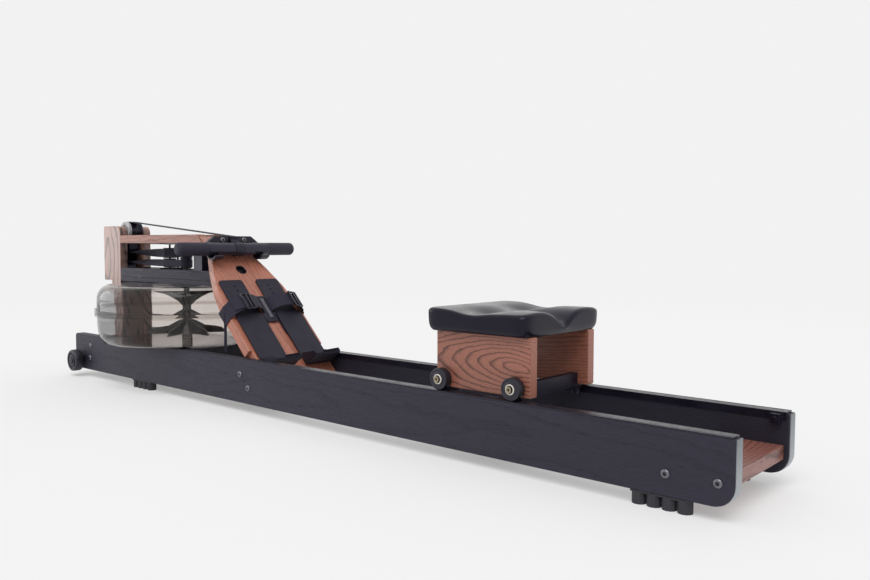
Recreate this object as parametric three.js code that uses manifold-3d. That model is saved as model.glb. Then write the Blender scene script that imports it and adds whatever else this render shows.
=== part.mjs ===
// Water rowing machine, millimetres, +Z up.
// Origin: centre of the footprint on the floor. +X points to the tail, where the rower leans back.
// The rower faces the tank, so the left-hand side is -Y.

import * as THREE from 'three';
import { mergeVertices } from 'three/addons/utils/BufferGeometryUtils.js';
import Module from 'manifold-3d';

const wasm = await Module();
wasm.setup();

// Clearances and facets
const fitGap = 0.3;
const runningGap = 0.5;
const cutOverrun = 3;
const weldTolerance = 0.0001;
const fineSides = 40;
const wheelSides = 20;
const pulleySides = 16;
const pinSides = 8;
const headSides = 12;
const arcSteps = 4;

// Side rails
const machineLength = 2090;
const frameWidth = 262;
const footHeight = 22.4;
const railHeight = 108;
const railThickness = 24;
const railFrontRadius = 10;
const railTailRadius = 35;
const railCornerRadius = 3;
const boardBevel = 1.2;
const railEnd = machineLength / 2;
const railOuter = frameWidth / 2;
const railInner = railOuter - railThickness;
const railMiddle = (railOuter + railInner) / 2;
const railBottom = footHeight + fitGap;
const railTop = railBottom + railHeight;
const boardHalfWidth = railInner - fitGap;

// Seat tracks let into the rail tops
const trackHeadMargin = 23;
const trackTailMargin = 5;
const trackThickness = 3;
const trackLipHeight = 14;
const trackLipThickness = 1.5;
const trackGrooveDepth = 0.8;
const trackGrooveWidth = 2;
const trackGrooveInset = 3;
const trackEnd = railEnd - trackTailMargin;
const trackFace = railInner - trackLipThickness;
const stopLength = 16;
const stopWidth = 13;
const stopHeight = 17;
const stopInset = 8;
const stopScrewRadius = 4.6;
const stopScrewDepth = 2;

// Cross boards between the rails
const frontBoardInset = 97.5;
const frontBoardThickness = 25;
const frontBoardBottom = 50;
const frontBoardTop = 121;
const tailBoardInset = 9;
const tailBoardLength = 121;
const tailBoardBottom = 50;
const tailBoardThickness = 24;
const frontBoardX = frontBoardInset - railEnd;
const tailBoardEnd = railEnd - tailBoardInset;
const tailBoardStart = tailBoardEnd - tailBoardLength;

// Feet under the rails
const footLength = 102;
const footLobes = 4;
const footLobeGap = 1.6;
const footPlateThickness = 3;
const frontFootInset = 401;
const tailFootInset = 118;
const frontFootX = frontFootInset - railEnd;
const tailFootX = railEnd - tailFootInset;

// Transport wheels at the tank end
const transportInset = 40;
const transportZ = 49.5;
const transportRadius = 33;
const transportWidth = 25;
const transportStandOff = 8;
const transportEdge = 4;
const transportGrooveDepth = 3;
const transportGrooveOuter = 24;
const transportGrooveInner = 18;
const transportHubRadius = 11;
const transportAxleRadius = 6;
const axleCapHeight = 3;
const transportX = transportInset - railEnd;
const transportInner = railOuter + transportStandOff;

// Kingpost, a channel of boards open toward the tail
const postInset = 38;
const postDepth = 104;
const postLegDepth = 57;
const postHalfWidth = 51;
const postBoardThickness = 24;
const postTop = 466;
const postHeadBottom = 297;
const postCrownRadius = 22;
const postEdgeRadius = 4;
const postWebTop = 440;
const postFront = postInset - railEnd;
const postTail = postFront + postDepth;
const postLegFront = postTail - postLegDepth;
const postInnerWidth = postHalfWidth - postBoardThickness;
const postWebHalfWidth = postInnerWidth + boardBevel;
const frontBoardTailFace = frontBoardX + frontBoardThickness / 2;
const postTongueFront = frontBoardTailFace + fitGap;
const postTongueBottom = frontBoardBottom;

// Deck between kingpost and footboard
const plankBottom = 413;
const plankThickness = 24;
const plankTop = plankBottom + plankThickness;
const deckStart = postTail + fitGap;
const topPlateBottom = 296.8;
const topPlateThickness = 12.9;
const topPlateTop = topPlateBottom + topPlateThickness;
const beamHeight = 27.3;
const beamSeamDepth = 1;
const beamSeamHeight = 1;
const beamTop = topPlateTop + beamHeight;
const rearBlockReach = 121;
const rearBlockLength = 41;

// Footboard, sloping down to the rails
const slopeAngle = Math.PI / 4;
const footboardInset = 912;
const footboardThickness = 25;
const footboardTop = 430.5;
const footboardTopHalfWidth = 49;
const footboardWideHalfWidth = 116;
const footboardShoulderFall = 135;
const footboardNeckFall = 262;
const footboardNotchRise = 26;
const footboardReach = 67;
const shoulderControlShare = 0.55;
const neckControlShare = 0.9;
const recessRise = 298;
const recessRadius = 15.5;
const recessDepth = 14;
const crossBlockThickness = 58.7;
const crossBlockStart = -24;
const crossBlockEnd = 55;
const footboardFootX = footboardInset - railEnd;
const trackStart = footboardFootX + trackHeadMargin;

// Foot plates, heel rests and straps on the footboard
const footPlateInner = 21;
const footPlateOuter = 93.5;
const footPlateTopRise = 258;
const footPlateBottomRise = 62;
const footPlateSheet = 4;
const footPlateCorner = 9;
const adjustHoleRadius = 2.6;
const adjustHoleCount = 3;
const adjustHoleSpacing = 15;
const adjustHoleInset = 22;
const adjustHoleSideInset = 41;
const heelTopRise = 138;
const heelReach = 40;
const heelInner = 22;
const heelOuter = 102;
const heelSheet = 3.6;
const heelCorner = 10;
const heelRimStart = 4;
const heelRimEnd = 35;
const heelEnd = 48;
const heelEndRound = 5;
const heelCupDepth = 51;
const heelCupWall = 3.6;
const strapBandWidth = 44;
const strapThickness = 2.4;
const strapRise = 163;
const strapArch = 31;
const strapInner = 11;
const strapOuter = 114;
const strapFootLength = 9;

// Handle and the hooks that it hangs on
const handleStand = 29;
const handleZ = 397;
const handleLength = 367;
const handleRadius = 17.5;
const handleCoreRadius = 12.5;
const handleEndRadius = 6;
const clipHalfWidth = 13.5;
const clipWall = 6;
const clipTabLength = 9;
const clipTabThickness = 7;
const clipTabLean = 0.52;
const hookPlateThickness = 10.9;
const hookWedgeDepth = 43.8;
const hookOverlap = 2;
const hookSlotHalfWidth = 14;
const hookSlotFloor = 427.5;
const hookVeeTop = 423;
const hookVeeHalfWidth = 20;
const hookVeeBottom = 409;
const hookTop = 432;
const hookShoulder = 57;
const hookArmInner = 60;
const hookArmOuter = 86;
const hookArmTop = 398;
const hookShoulderDrop = 21;
const hookInnerRadius = 24;
const hookThickness = 4.5;
const hookTipAngle = 0.85;
const hookFace = footboardFootX + railTop - footboardTop + hookWedgeDepth;
const handleX = hookFace + handleStand;

// Water tank
const tankInset = 431;
const tankRadius = 243;
const tankWall = 4;
const tankBottom = railTop + fitGap;
const tankTop = topPlateBottom - fitGap;
const tankSeamZ = 219;
const tankFlangeRadius = 246;
const tankFlangeHeight = 4;
const tankShoulderReach = 38;
const tankShoulderDrop = 40;
const tankBilgeReach = 26;
const tankBilgeRise = 62;
const seamRingThickness = 3;
const seamRingHalfHeight = 9;
const tankHoleRadius = 12;
const tankBossRadius = 15;
const tankBossHeight = 16;
const plugY = 135;
const plugRadius = 19;
const plugCapHeight = 6;
const tankX = tankInset - railEnd;
const rearBlockStart = tankX + rearBlockReach;
const rearBlockEnd = rearBlockStart + rearBlockLength;

// Impeller on its shaft
const shaftRadius = 8;
const impellerTop = 282;
const impellerVanes = 6;
const vaneThickness = 3;
const vaneTopRadius = 95;
const vaneBottomRadius = 112;
const vaneWaistRadius = 12;
const hubTopRadius = 32;
const hubBottomRadius = 40;
const hubWaistRadius = 10;
const vaneUpperRadiusShares = [0.63, 0.44, 0.25];
const vaneUpperHeightShares = [0.9, 0.815, 0.715];
const vaneLowerRadiusShares = [0.28, 0.45, 0.88];
const vaneLowerHeightShares = [0.34, 0.2, 0.11];
const waistHighShare = 0.59;
const waistLowShare = 0.46;
const hubWaistHighShare = 0.72;
const hubWaistLowShare = 0.34;

// Belt drive between the deck boards
const strapWidth = 25;
const recoilWidth = 21;
const beltThickness = 2;
const driveLevel = 384;
const recoilLevel = 354.5;
const topPulleyInset = 22;
const topPulleyRadius = 26;
const topPulleyHalfWidth = 24;
const strapCrown = 481;
const linePulleyRadius = 18;
const linePulleyHalfWidth = 15;
const pulleyFlange = 1.6;
const pulleyFlangeWidth = 2;
const pulleyPinRadius = 4;
const pulleyPinReach = 38;
const recoilDropClearance = 2;
const basePulleyRadius = 12;
const basePulleyHalfWidth = 13.2;
const basePulleyZ = 36.4;
const bracketEyeRadius = 9;
const baseCheekThickness = 3;
const baseCheekLength = 18;
const drumRadius = 16;
const drumFlange = 2.5;
const drumFlangeWidth = 2;
const rollerRadius = 18;
const rollerFlange = 1.4;
const rollerRodRadius = 3;
const rollerReach = 88;
const rollerPlateThickness = 3;
const rollerPlateMargin = 20;
const guardRodShift = 22;
const guardRodY = 13;
const bearingRadius = 25;
const bearingHeight = 14;
const bridgeThickness = 4;
const bracketSheet = 3;
const bridgeLength = 60;
const bridgeBossRadius = 13;
const bridgeBossHeight = 5;
const twistSteps = 12;
const wrapSteps = 9;
const recoilRunReach = 54;
const upperDrumWrap = 3.4;
const lowerDrumWrap = 3.2;
const topPulleyX = postTail - topPulleyInset;
const rollerX = tankX - rollerReach;
const recoilRunEnd = tankX + recoilRunReach;

// Bungee along the frame
const bungeeRadius = 4;
const bungeeStart = recoilRunEnd + fitGap;
const bungeePulleyInset = 105;
const bungeePulleyRadius = 14;
const bungeePulleyHeight = 11;
const bungeePivotRadius = 4;
const bungeeSides = 8;
const bungeePulleyX = railEnd - bungeePulleyInset;

// Seat carriage
const seatInset = 483;
const seatBoardLength = 219;
const seatBoardThickness = 22;
const seatBoardOuter = 110;
const seatBoardBottom = 136;
const seatBoardTop = 244.7;
const seatWheelRadius = 21;
const seatWheelWidth = 18;
const seatWheelBase = 170;
const seatWheelShift = -6.5;
const seatWheelEdge = 2;
const seatWheelHubRadius = 9.5;
const seatWheelHubDish = 1.6;
const seatAxleRadius = 4;
const seatAxleHeadRadius = 6.5;
const seatAxleHeadHeight = 4;
const seatBarWidth = 16;
const seatBarTop = 158;
const guideRadius = 9;
const guideHeight = 15;
const guideTop = 129;
const seatBarDrop = 6;
const boltSides = 6;
const basePlateThickness = 5;
const basePlateInset = 6;
const panCorner = 12;
const cushionLength = 232;
const cushionWidth = 264;
const cushionHeight = 39;
const cushionSkirt = 6;
const cushionShift = -4;
const cushionCorner = 20;
const cushionEdge = 9;
const cushionSideDraw = 4;
const cushionHollowDepth = 13;
const cushionNotchDepth = 16;
const cushionHollowSpread = 46;
const cushionHollowY = 52;
const cushionNotchSpread = 30;
const cushionRings = 7;
const cushionCornerSteps = 8;
const cushionSideSteps = 6;
const seatCentreX = railEnd - seatInset;
const wheelZ = railTop + fitGap + seatWheelRadius;

// Finishes, close to the look of each stock
const finishes = {
  rosewood: { color: 0x7d4a3a, roughness: 0.5, metalness: 0 },
  blackWood: { color: 0x1d1e24, roughness: 0.45, metalness: 0 },
  blackPlastic: { color: 0x17181b, roughness: 0.5, metalness: 0 },
  rubber: { color: 0x141416, roughness: 0.8, metalness: 0 },
  webbing: { color: 0x121318, roughness: 0.9, metalness: 0 },
  steel: { color: 0xb9bbbd, roughness: 0.3, metalness: 1 },
  blackSteel: { color: 0x202124, roughness: 0.4, metalness: 0.8 },
  greyPlastic: { color: 0x8d8f90, roughness: 0.45, metalness: 0 },
  smokedShell: { color: 0x6d706c, roughness: 0.08, metalness: 0, transparent: true, opacity: 0.35 },
  smokedVane: { color: 0x35373a, roughness: 0.3, metalness: 0 },
  cushion: { color: 0x101114, roughness: 0.3, metalness: 0 },
};

// Scene graph: the frame, and turned or moved groups inside it
const machine = new THREE.Group();
const seat = new THREE.Group();
const footboardPlane = new THREE.Group();
seat.position.set(seatCentreX, 0, 0);
footboardPlane.position.set(footboardFootX, 0, railTop);
footboardPlane.rotation.y = slopeAngle;
machine.add(seat, footboardPlane);

function addPart(name, finish, geometry, parent = machine) {
  const material = new THREE.MeshStandardMaterial({ ...finishes[finish], flatShading: true });
  const mesh = new THREE.Mesh(geometry, material);
  mesh.name = name;
  parent.add(mesh);
  return mesh;
}

// Adds a piece of the right-hand side and its mirror image
function addPair(name, finish, geometry, parent = machine) {
  addPart(`${name}_right`, finish, geometry, parent);
  addPart(`${name}_left`, finish, mirrorY(geometry), parent);
}

// Geometry helpers

function signedVolume(geometry) {
  const points = geometry.attributes.position;
  const index = geometry.index.array;
  const a = new THREE.Vector3();
  const b = new THREE.Vector3();
  const c = new THREE.Vector3();
  let volume = 0;
  for (let i = 0; i < index.length; i += 3) {
    a.fromBufferAttribute(points, index[i]);
    b.fromBufferAttribute(points, index[i + 1]);
    c.fromBufferAttribute(points, index[i + 2]);
    volume += a.dot(b.cross(c)) / 6;
  }
  return volume;
}

// Joins shared vertices, drops collapsed triangles and turns every face outward
function weld(source) {
  const bare = source.clone();
  bare.deleteAttribute('normal');
  bare.deleteAttribute('uv');
  const merged = mergeVertices(bare, weldTolerance);
  const kept = [];
  const index = merged.index.array;
  for (let i = 0; i < index.length; i += 3) {
    const [a, b, c] = [index[i], index[i + 1], index[i + 2]];
    if (a !== b && b !== c && c !== a) kept.push(a, b, c);
  }
  merged.setIndex(kept);
  if (signedVolume(merged) < 0) {
    for (let i = 0; i < kept.length; i += 3) [kept[i], kept[i + 1]] = [kept[i + 1], kept[i]];
    merged.setIndex(kept);
  }
  return merged;
}

function toSolid(geometry) {
  const vertProperties = new Float32Array(geometry.attributes.position.array);
  const triVerts = new Uint32Array(geometry.index.array);
  return new wasm.Manifold(new wasm.Mesh({ numProp: 3, vertProperties, triVerts }));
}

function toGeometry(solid) {
  const mesh = solid.getMesh();
  const geometry = new THREE.BufferGeometry();
  geometry.setAttribute('position', new THREE.BufferAttribute(mesh.vertProperties, mesh.numProp));
  geometry.setIndex(Array.from(mesh.triVerts));
  return geometry;
}

function cut(base, ...tools) {
  return toGeometry(tools.reduce((solid, tool) => solid.subtract(toSolid(tool)), toSolid(base)));
}

function fuse(first, ...others) {
  return toGeometry(others.reduce((solid, other) => solid.add(toSolid(other)), toSolid(first)));
}

function mirrorY(geometry) {
  return weld(geometry.clone().scale(1, -1, 1));
}

// A box from its low and high limits
function block(x0, x1, y0, y1, z0, z1) {
  const box = new THREE.BoxGeometry(x1 - x0, y1 - y0, z1 - z0);
  box.translate((x0 + x1) / 2, (y0 + y1) / 2, (z0 + z1) / 2);
  return weld(box);
}

// Drawing planes: along x the shape lies in (y, z), along y in (x, z), along z in (x, y)
const bases = {
  x: [new THREE.Vector3(0, 1, 0), new THREE.Vector3(0, 0, 1), new THREE.Vector3(1, 0, 0)],
  y: [new THREE.Vector3(1, 0, 0), new THREE.Vector3(0, 0, 1), new THREE.Vector3(0, -1, 0)],
  z: [new THREE.Vector3(1, 0, 0), new THREE.Vector3(0, 1, 0), new THREE.Vector3(0, 0, 1)],
};

function extruded(axis, shape, low, high, bevel = 0) {
  const settings = { depth: high - low - 2 * bevel, curveSegments: arcSteps, bevelEnabled: bevel > 0 };
  Object.assign(settings, { bevelThickness: bevel, bevelSize: bevel, bevelOffset: -bevel, bevelSegments: 1 });
  const geometry = new THREE.ExtrudeGeometry(shape, settings);
  geometry.applyMatrix4(new THREE.Matrix4().makeBasis(...bases[axis]));
  const start = axis === 'y' ? -(high - bevel) : low + bevel;
  const offset = bases[axis][2].clone().multiplyScalar(start);
  geometry.translate(offset.x, offset.y, offset.z);
  return weld(geometry);
}

// A solid of revolution from [radius, height] pairs
function revolved(axis, profile, sides) {
  const points = profile.map(([radius, height]) => new THREE.Vector2(radius, height));
  const geometry = new THREE.LatheGeometry(points, sides);
  if (axis === 'z') geometry.rotateX(Math.PI / 2);
  if (axis === 'x') geometry.rotateZ(-Math.PI / 2);
  return weld(geometry);
}

function rod(axis, radius, low, high, at, sides = pinSides) {
  const geometry = revolved(axis, [[0, low], [radius, low], [radius, high], [0, high]], sides);
  geometry.translate(at[0], at[1], at[2]);
  return geometry;
}

function rodShape(x, y, radius) {
  return new THREE.Path().absarc(x, y, radius, 0, 2 * Math.PI, true);
}

// A rectangle with a radius for each corner: low left, low right, high right, high left
function roundedRect(x0, x1, y0, y1, radii) {
  const [a, b, c, d] = radii;
  const shape = new THREE.Shape();
  shape.moveTo(x0 + a, y0);
  shape.lineTo(x1 - b, y0);
  shape.absarc(x1 - b, y0 + b, b, -Math.PI / 2, 0);
  shape.lineTo(x1, y1 - c);
  shape.absarc(x1 - c, y1 - c, c, 0, Math.PI / 2);
  shape.lineTo(x0 + d, y1);
  shape.absarc(x0 + d, y1 - d, d, Math.PI / 2, Math.PI);
  shape.lineTo(x0, y0 + a);
  shape.absarc(x0 + a, y0 + a, a, Math.PI, 1.5 * Math.PI);
  return shape;
}

function polygon(points) {
  return new THREE.Shape(points.map(([x, y]) => new THREE.Vector2(x, y)));
}

// The back face of the footboard at a height, with the fitting gap taken off
const footboardFaceSum = footboardFootX + railTop;
const footboardBackSum = footboardFaceSum - footboardThickness / Math.cos(slopeAngle);
function backFaceX(z) {
  return footboardBackSum - z - fitGap / Math.cos(slopeAngle);
}

// Side rails

const railOutline = roundedRect(-railEnd, railEnd, railBottom, railTop,
  [railCornerRadius, railTailRadius, railCornerRadius, railFrontRadius]);
const trackRebate = block(trackStart, railEnd + cutOverrun, -railOuter - cutOverrun, railOuter + cutOverrun,
  railTop - trackThickness - fitGap, railTop + cutOverrun);
const transportHole = rod('y', transportAxleRadius + fitGap, -railOuter - cutOverrun, railOuter + cutOverrun,
  [transportX, 0, transportZ], headSides);

const railBlank = extruded('y', railOutline, railInner, railOuter, boardBevel);
addPair('rail', 'blackWood', cut(railBlank, trackRebate, transportHole));

// Tracks: a capping with a lip down the inner face, and a stop block near the tail

const trackBase = railTop - trackThickness;
const grooveOuter = railOuter - trackGrooveInset;
const grooveInner = grooveOuter - trackGrooveWidth;
const trackSection = polygon([
  [trackFace, railTop], [trackFace, railTop - trackLipHeight], [railInner - fitGap, railTop - trackLipHeight],
  [railInner - fitGap, trackBase], [railOuter, trackBase], [railOuter, railTop], [grooveOuter, railTop],
  [grooveOuter, railTop - trackGrooveDepth], [grooveInner, railTop - trackGrooveDepth],
  [grooveInner, railTop],
]);
const stopOuter = trackFace + trackLipThickness / 2;
const stopEnd = trackEnd - stopInset;
const stopScrew = rod('y', stopScrewRadius, stopOuter - stopWidth - stopScrewDepth, stopOuter,
  [stopEnd - stopLength / 2, 0, railTop - trackThickness - stopHeight / 2]);
const stopBody = block(stopEnd - stopLength, stopEnd, stopOuter - stopWidth, stopOuter,
  railTop - trackThickness - stopHeight, railTop - trackThickness);
const trackBar = extruded('x', trackSection, trackStart + fitGap, trackEnd);
addPair('track', 'blackPlastic', fuse(trackBar, stopBody, stopScrew));

// Cross boards

const frontBoard = block(frontBoardX - frontBoardThickness / 2, frontBoardTailFace,
  -boardHalfWidth, boardHalfWidth, frontBoardBottom, frontBoardTop);
addPart('front_cross_board', 'rosewood', frontBoard);

const tailOutline = roundedRect(tailBoardStart, tailBoardEnd, tailBoardBottom,
  tailBoardBottom + tailBoardThickness, [boardBevel, boardBevel, boardBevel, boardBevel]);
const bungeePivot = rod('z', bungeePivotRadius, footHeight / 2, tailBoardBottom + tailBoardThickness / 2,
  [bungeePulleyX, 0, 0]);
const tailBoard = extruded('y', tailOutline, -boardHalfWidth, boardHalfWidth);
addPart('tail_cross_board', 'rosewood', fuse(tailBoard, bungeePivot));

// Feet: a plate under the rail and a row of round lobes

function makeFoot(x) {
  const lobePitch = footLength / footLobes;
  const lobeRadius = (lobePitch - footLobeGap) / 2;
  const plateHalf = footLength / 2 - footLobeGap;
  const plate = block(x - plateHalf, x + plateHalf, railInner + boardBevel, railOuter - boardBevel,
    footHeight - footPlateThickness, footHeight);
  const lobes = Array.from({ length: footLobes }, (_, i) => {
    const lobeX = x - footLength / 2 + lobePitch * i + lobePitch / 2;
    return rod('z', lobeRadius, 0, footHeight - footPlateThickness / 2, [lobeX, railMiddle, 0], headSides);
  });
  return fuse(plate, ...lobes);
}
addPair('foot_front', 'rubber', makeFoot(frontFootX));
addPair('foot_rear', 'rubber', makeFoot(tailFootX));

// Kingpost

const sideOutline = new THREE.Shape();
sideOutline.moveTo(postFront, postHeadBottom);
sideOutline.lineTo(postLegFront, postHeadBottom);
sideOutline.lineTo(postLegFront, frontBoardTop + fitGap);
sideOutline.lineTo(postTongueFront, frontBoardTop + fitGap);
sideOutline.lineTo(postTongueFront, postTongueBottom);
sideOutline.lineTo(postTail, postTongueBottom);
sideOutline.lineTo(postTail, postTop - postCrownRadius);
sideOutline.absarc(postTail - postCrownRadius, postTop - postCrownRadius, postCrownRadius, 0, Math.PI / 2);
sideOutline.lineTo(postFront + postEdgeRadius, postTop);
sideOutline.absarc(postFront + postEdgeRadius, postTop - postEdgeRadius, postEdgeRadius,
  Math.PI / 2, Math.PI);

// Pulley places in the channel
const strapDropX = topPulleyX - topPulleyRadius - fitGap;
const recoilDropX = postLegFront - recoilDropClearance;
const pulleyPlaces = {
  top_pulley: [topPulleyX, strapCrown - beltThickness - fitGap - topPulleyRadius],
  drive_pulley: [strapDropX + fitGap + linePulleyRadius, driveLevel + fitGap + linePulleyRadius],
  recoil_pulley: [recoilDropX + fitGap + linePulleyRadius, recoilLevel - fitGap - linePulleyRadius],
  base_pulley: [recoilDropX + fitGap + basePulleyRadius, basePulleyZ],
};
const [topX, topZ] = pulleyPlaces.top_pulley;
const topPinHole = rod('y', pulleyPinRadius + fitGap, 0, pulleyPinReach + fitGap, [topX, 0, topZ]);
const postSide = cut(extruded('y', sideOutline, postInnerWidth, postHalfWidth, boardBevel), topPinHole);
const upperWeb = block(postFront, postFront + postBoardThickness, -postWebHalfWidth, postWebHalfWidth,
  postHeadBottom, postWebTop);
const lowerWeb = block(postTongueFront, postTongueFront + postBoardThickness, -postWebHalfWidth,
  postWebHalfWidth, postTongueBottom, postHeadBottom);
addPart('kingpost', 'rosewood', fuse(postSide, mirrorY(postSide), upperWeb, lowerWeb));

// Deck: planks above, beams and plate below, a block between them at the footboard

function deckPiece(bottom, top, inner, outer) {
  const outline = polygon([
    [deckStart, bottom], [backFaceX(bottom), bottom], [backFaceX(top), top], [deckStart, top],
  ]);
  return extruded('y', outline, inner, outer);
}
addPair('deck_plank', 'rosewood', deckPiece(plankBottom, plankTop, postInnerWidth, postHalfWidth));

const plateHole = rod('z', tankHoleRadius, topPlateBottom - cutOverrun, topPlateTop + cutOverrun,
  [tankX, 0, 0], headSides);
const beltTrough = block(deckStart - cutOverrun, handleX, -postInnerWidth, postInnerWidth, topPlateTop,
  beamTop + cutOverrun);
const beamSeam = block(deckStart - cutOverrun, handleX, postHalfWidth - beamSeamDepth,
  postHalfWidth + cutOverrun, topPlateTop, topPlateTop + beamSeamHeight);
const topBeam = deckPiece(topPlateBottom, beamTop, -postHalfWidth, postHalfWidth);
addPart('tank_top_beam', 'blackWood', cut(topBeam, plateHole, beltTrough, beamSeam, mirrorY(beamSeam)));
addPart('deck_rear_block', 'blackPlastic', block(rearBlockStart, rearBlockEnd, -postHalfWidth, postHalfWidth,
  beamTop + fitGap, plankBottom - fitGap));

// Footboard, drawn flat in its own sloping plane: x runs down the slope, z out of the face

const topRise = (footboardTop - railTop) / Math.sin(slopeAngle) + footboardThickness + cutOverrun;
const boardSide = new THREE.Shape();
boardSide.moveTo(-topRise, -footboardTopHalfWidth);
boardSide.lineTo(-footboardNeckFall - footboardShoulderFall, -footboardTopHalfWidth);
function edgeCurve(side) {
  const from = -footboardNeckFall - footboardShoulderFall;
  const to = -footboardNeckFall + footboardShoulderFall;
  const span = to - from;
  const ends = side < 0 ? [from, to] : [to, from];
  const widths = side < 0 ? [footboardTopHalfWidth, footboardWideHalfWidth]
    : [footboardWideHalfWidth, footboardTopHalfWidth];
  const lean = (ends[1] - ends[0]) / span;
  const widthRange = footboardWideHalfWidth - footboardTopHalfWidth;
  const nearTop = [from + span * shoulderControlShare, footboardTopHalfWidth + widthRange * neckControlShare];
  const nearWide = [to - span * shoulderControlShare / 2, footboardWideHalfWidth];
  const controls = lean > 0 ? [nearTop, nearWide] : [nearWide, nearTop];
  boardSide.bezierCurveTo(controls[0][0], side * controls[0][1], controls[1][0], side * controls[1][1],
    ends[1], side * widths[1]);
}
edgeCurve(-1);
boardSide.lineTo(-footboardNotchRise, -footboardWideHalfWidth);
boardSide.lineTo(-footboardNotchRise, -boardHalfWidth);
boardSide.lineTo(footboardReach, -boardHalfWidth);
boardSide.lineTo(footboardReach, boardHalfWidth);
boardSide.lineTo(-footboardNotchRise, boardHalfWidth);
boardSide.lineTo(-footboardNotchRise, footboardWideHalfWidth);
boardSide.lineTo(-footboardNeckFall + footboardShoulderFall, footboardWideHalfWidth);
edgeCurve(1);
boardSide.lineTo(-topRise, footboardTopHalfWidth);

const levelCut = block(-footboardWideHalfWidth, footboardWideHalfWidth, -footboardWideHalfWidth,
  footboardWideHalfWidth, 0, footboardWideHalfWidth);
levelCut.rotateY(-slopeAngle);
const levelShift = (footboardTop - railTop) / Math.sin(slopeAngle);
levelCut.translate(-levelShift, 0, 0);
const boltRecess = rod('z', recessRadius, -recessDepth, cutOverrun, [-recessRise, 0, 0], wheelSides);
const boardBlank = extruded('z', boardSide, -footboardThickness, 0, boardBevel);
addPart('footboard', 'rosewood', cut(boardBlank, levelCut, boltRecess), footboardPlane);

const crossBlock = block(crossBlockStart, crossBlockEnd, -boardHalfWidth, boardHalfWidth,
  -footboardThickness - fitGap - crossBlockThickness, -footboardThickness - fitGap);
addPart('footboard_cross_block', 'blackWood', crossBlock, footboardPlane);

// Wedge that gives the hooks an upright face above the footboard
const wedgeFace = footboardFaceSum + fitGap / Math.cos(slopeAngle);
const wedge = polygon([[wedgeFace - footboardTop, footboardTop], [hookFace, wedgeFace - hookFace],
  [hookFace, footboardTop]]);
addPart('hook_block', 'rosewood', extruded('y', wedge, -footboardTopHalfWidth, footboardTopHalfWidth));

// Foot plates with their adjusting holes

const plateFloor = fitGap;
const plateShape = roundedRect(-footPlateTopRise, -footPlateBottomRise, footPlateInner, footPlateOuter,
  [footPlateCorner, footPlateCorner, footPlateCorner, footPlateCorner]);
const adjustHoleY = footPlateOuter - adjustHoleSideInset;
for (let i = 0; i < adjustHoleCount; i += 1) {
  const adjustHoleX = -footPlateTopRise + adjustHoleInset + i * adjustHoleSpacing;
  plateShape.holes.push(rodShape(adjustHoleX, adjustHoleY, adjustHoleRadius));
}
const footPlate = extruded('z', plateShape, plateFloor, plateFloor + footPlateSheet);
addPair('foot_plate', 'blackPlastic', footPlate, footboardPlane);

// Heel rests: a plate on the footboard, and a cup at its foot that stands out level with the rails

const heelFloor = plateFloor + footPlateSheet + fitGap;
function makeHeel() {
  const soleTop = heelFloor + heelSheet;
  const rimTop = heelFloor + heelCupDepth;
  const sole = extruded('z', roundedRect(-heelTopRise, heelReach, heelInner, heelOuter,
    [heelCorner, heelCorner, heelCorner, heelCorner]), heelFloor, soleTop);
  const side = polygon([
    [heelRimStart, heelFloor], [heelRimStart, soleTop], [heelRimEnd, rimTop], [heelEnd - heelEndRound, rimTop],
    [heelEnd, rimTop - heelEndRound], [heelReach, heelFloor],
  ]);
  const hollow = polygon([
    [heelRimStart - heelCupWall, soleTop], [heelReach - heelCupWall, soleTop],
    [heelEnd - heelCupWall, rimTop + cutOverrun], [heelRimStart - heelCupWall, rimTop + cutOverrun],
  ]);
  const cup = extruded('y', side, heelInner, heelOuter);
  const cupHollow = extruded('y', hollow, heelInner + heelCupWall, heelOuter - heelCupWall);
  return fuse(cut(cup, cupHollow), sole);
}
addPair('heel_rest', 'blackPlastic', makeHeel(), footboardPlane);

// Foot straps: one webbing that arches over each foot plate and lies on the board between and beside them

const strapMiddle = (strapInner + strapOuter) / 2;
const strapHalf = (strapOuter - strapInner) / 2;
const strapFloor = fitGap;
const strapStart = -strapRise - strapBandWidth / 2;
const strapEnd = -strapRise + strapBandWidth / 2;
function makeFootStrap() {
  const arch = new THREE.Shape();
  const foot = strapFloor;
  const ceiling = foot + strapThickness;
  const innerHalf = strapHalf - strapThickness;
  arch.moveTo(strapOuter, foot);
  arch.absellipse(strapMiddle, foot, strapHalf, strapArch, 0, Math.PI, false);
  arch.lineTo(strapInner + strapFootLength, foot);
  arch.lineTo(strapInner + strapFootLength, ceiling);
  arch.lineTo(strapMiddle - innerHalf, ceiling);
  arch.absellipse(strapMiddle, ceiling, innerHalf, strapArch - 2 * strapThickness, Math.PI, 0, true);
  arch.lineTo(strapOuter - strapFootLength, ceiling);
  arch.lineTo(strapOuter - strapFootLength, foot);
  return extruded('x', arch, strapStart, strapEnd);
}
const strapArchRight = makeFootStrap();
const linkHalf = strapInner + strapFootLength / 2;
const strapLink = block(strapStart, strapEnd, -linkHalf, linkHalf, strapFloor, strapFloor + strapThickness);
addPart('foot_straps', 'webbing', fuse(strapArchRight, mirrorY(strapArchRight), strapLink), footboardPlane);

// Handle: a core bar with a collar and a tab for the strap, and two foam grips

const handle = new THREE.Group();
handle.position.set(handleX, 0, handleZ);
machine.add(handle);

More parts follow.
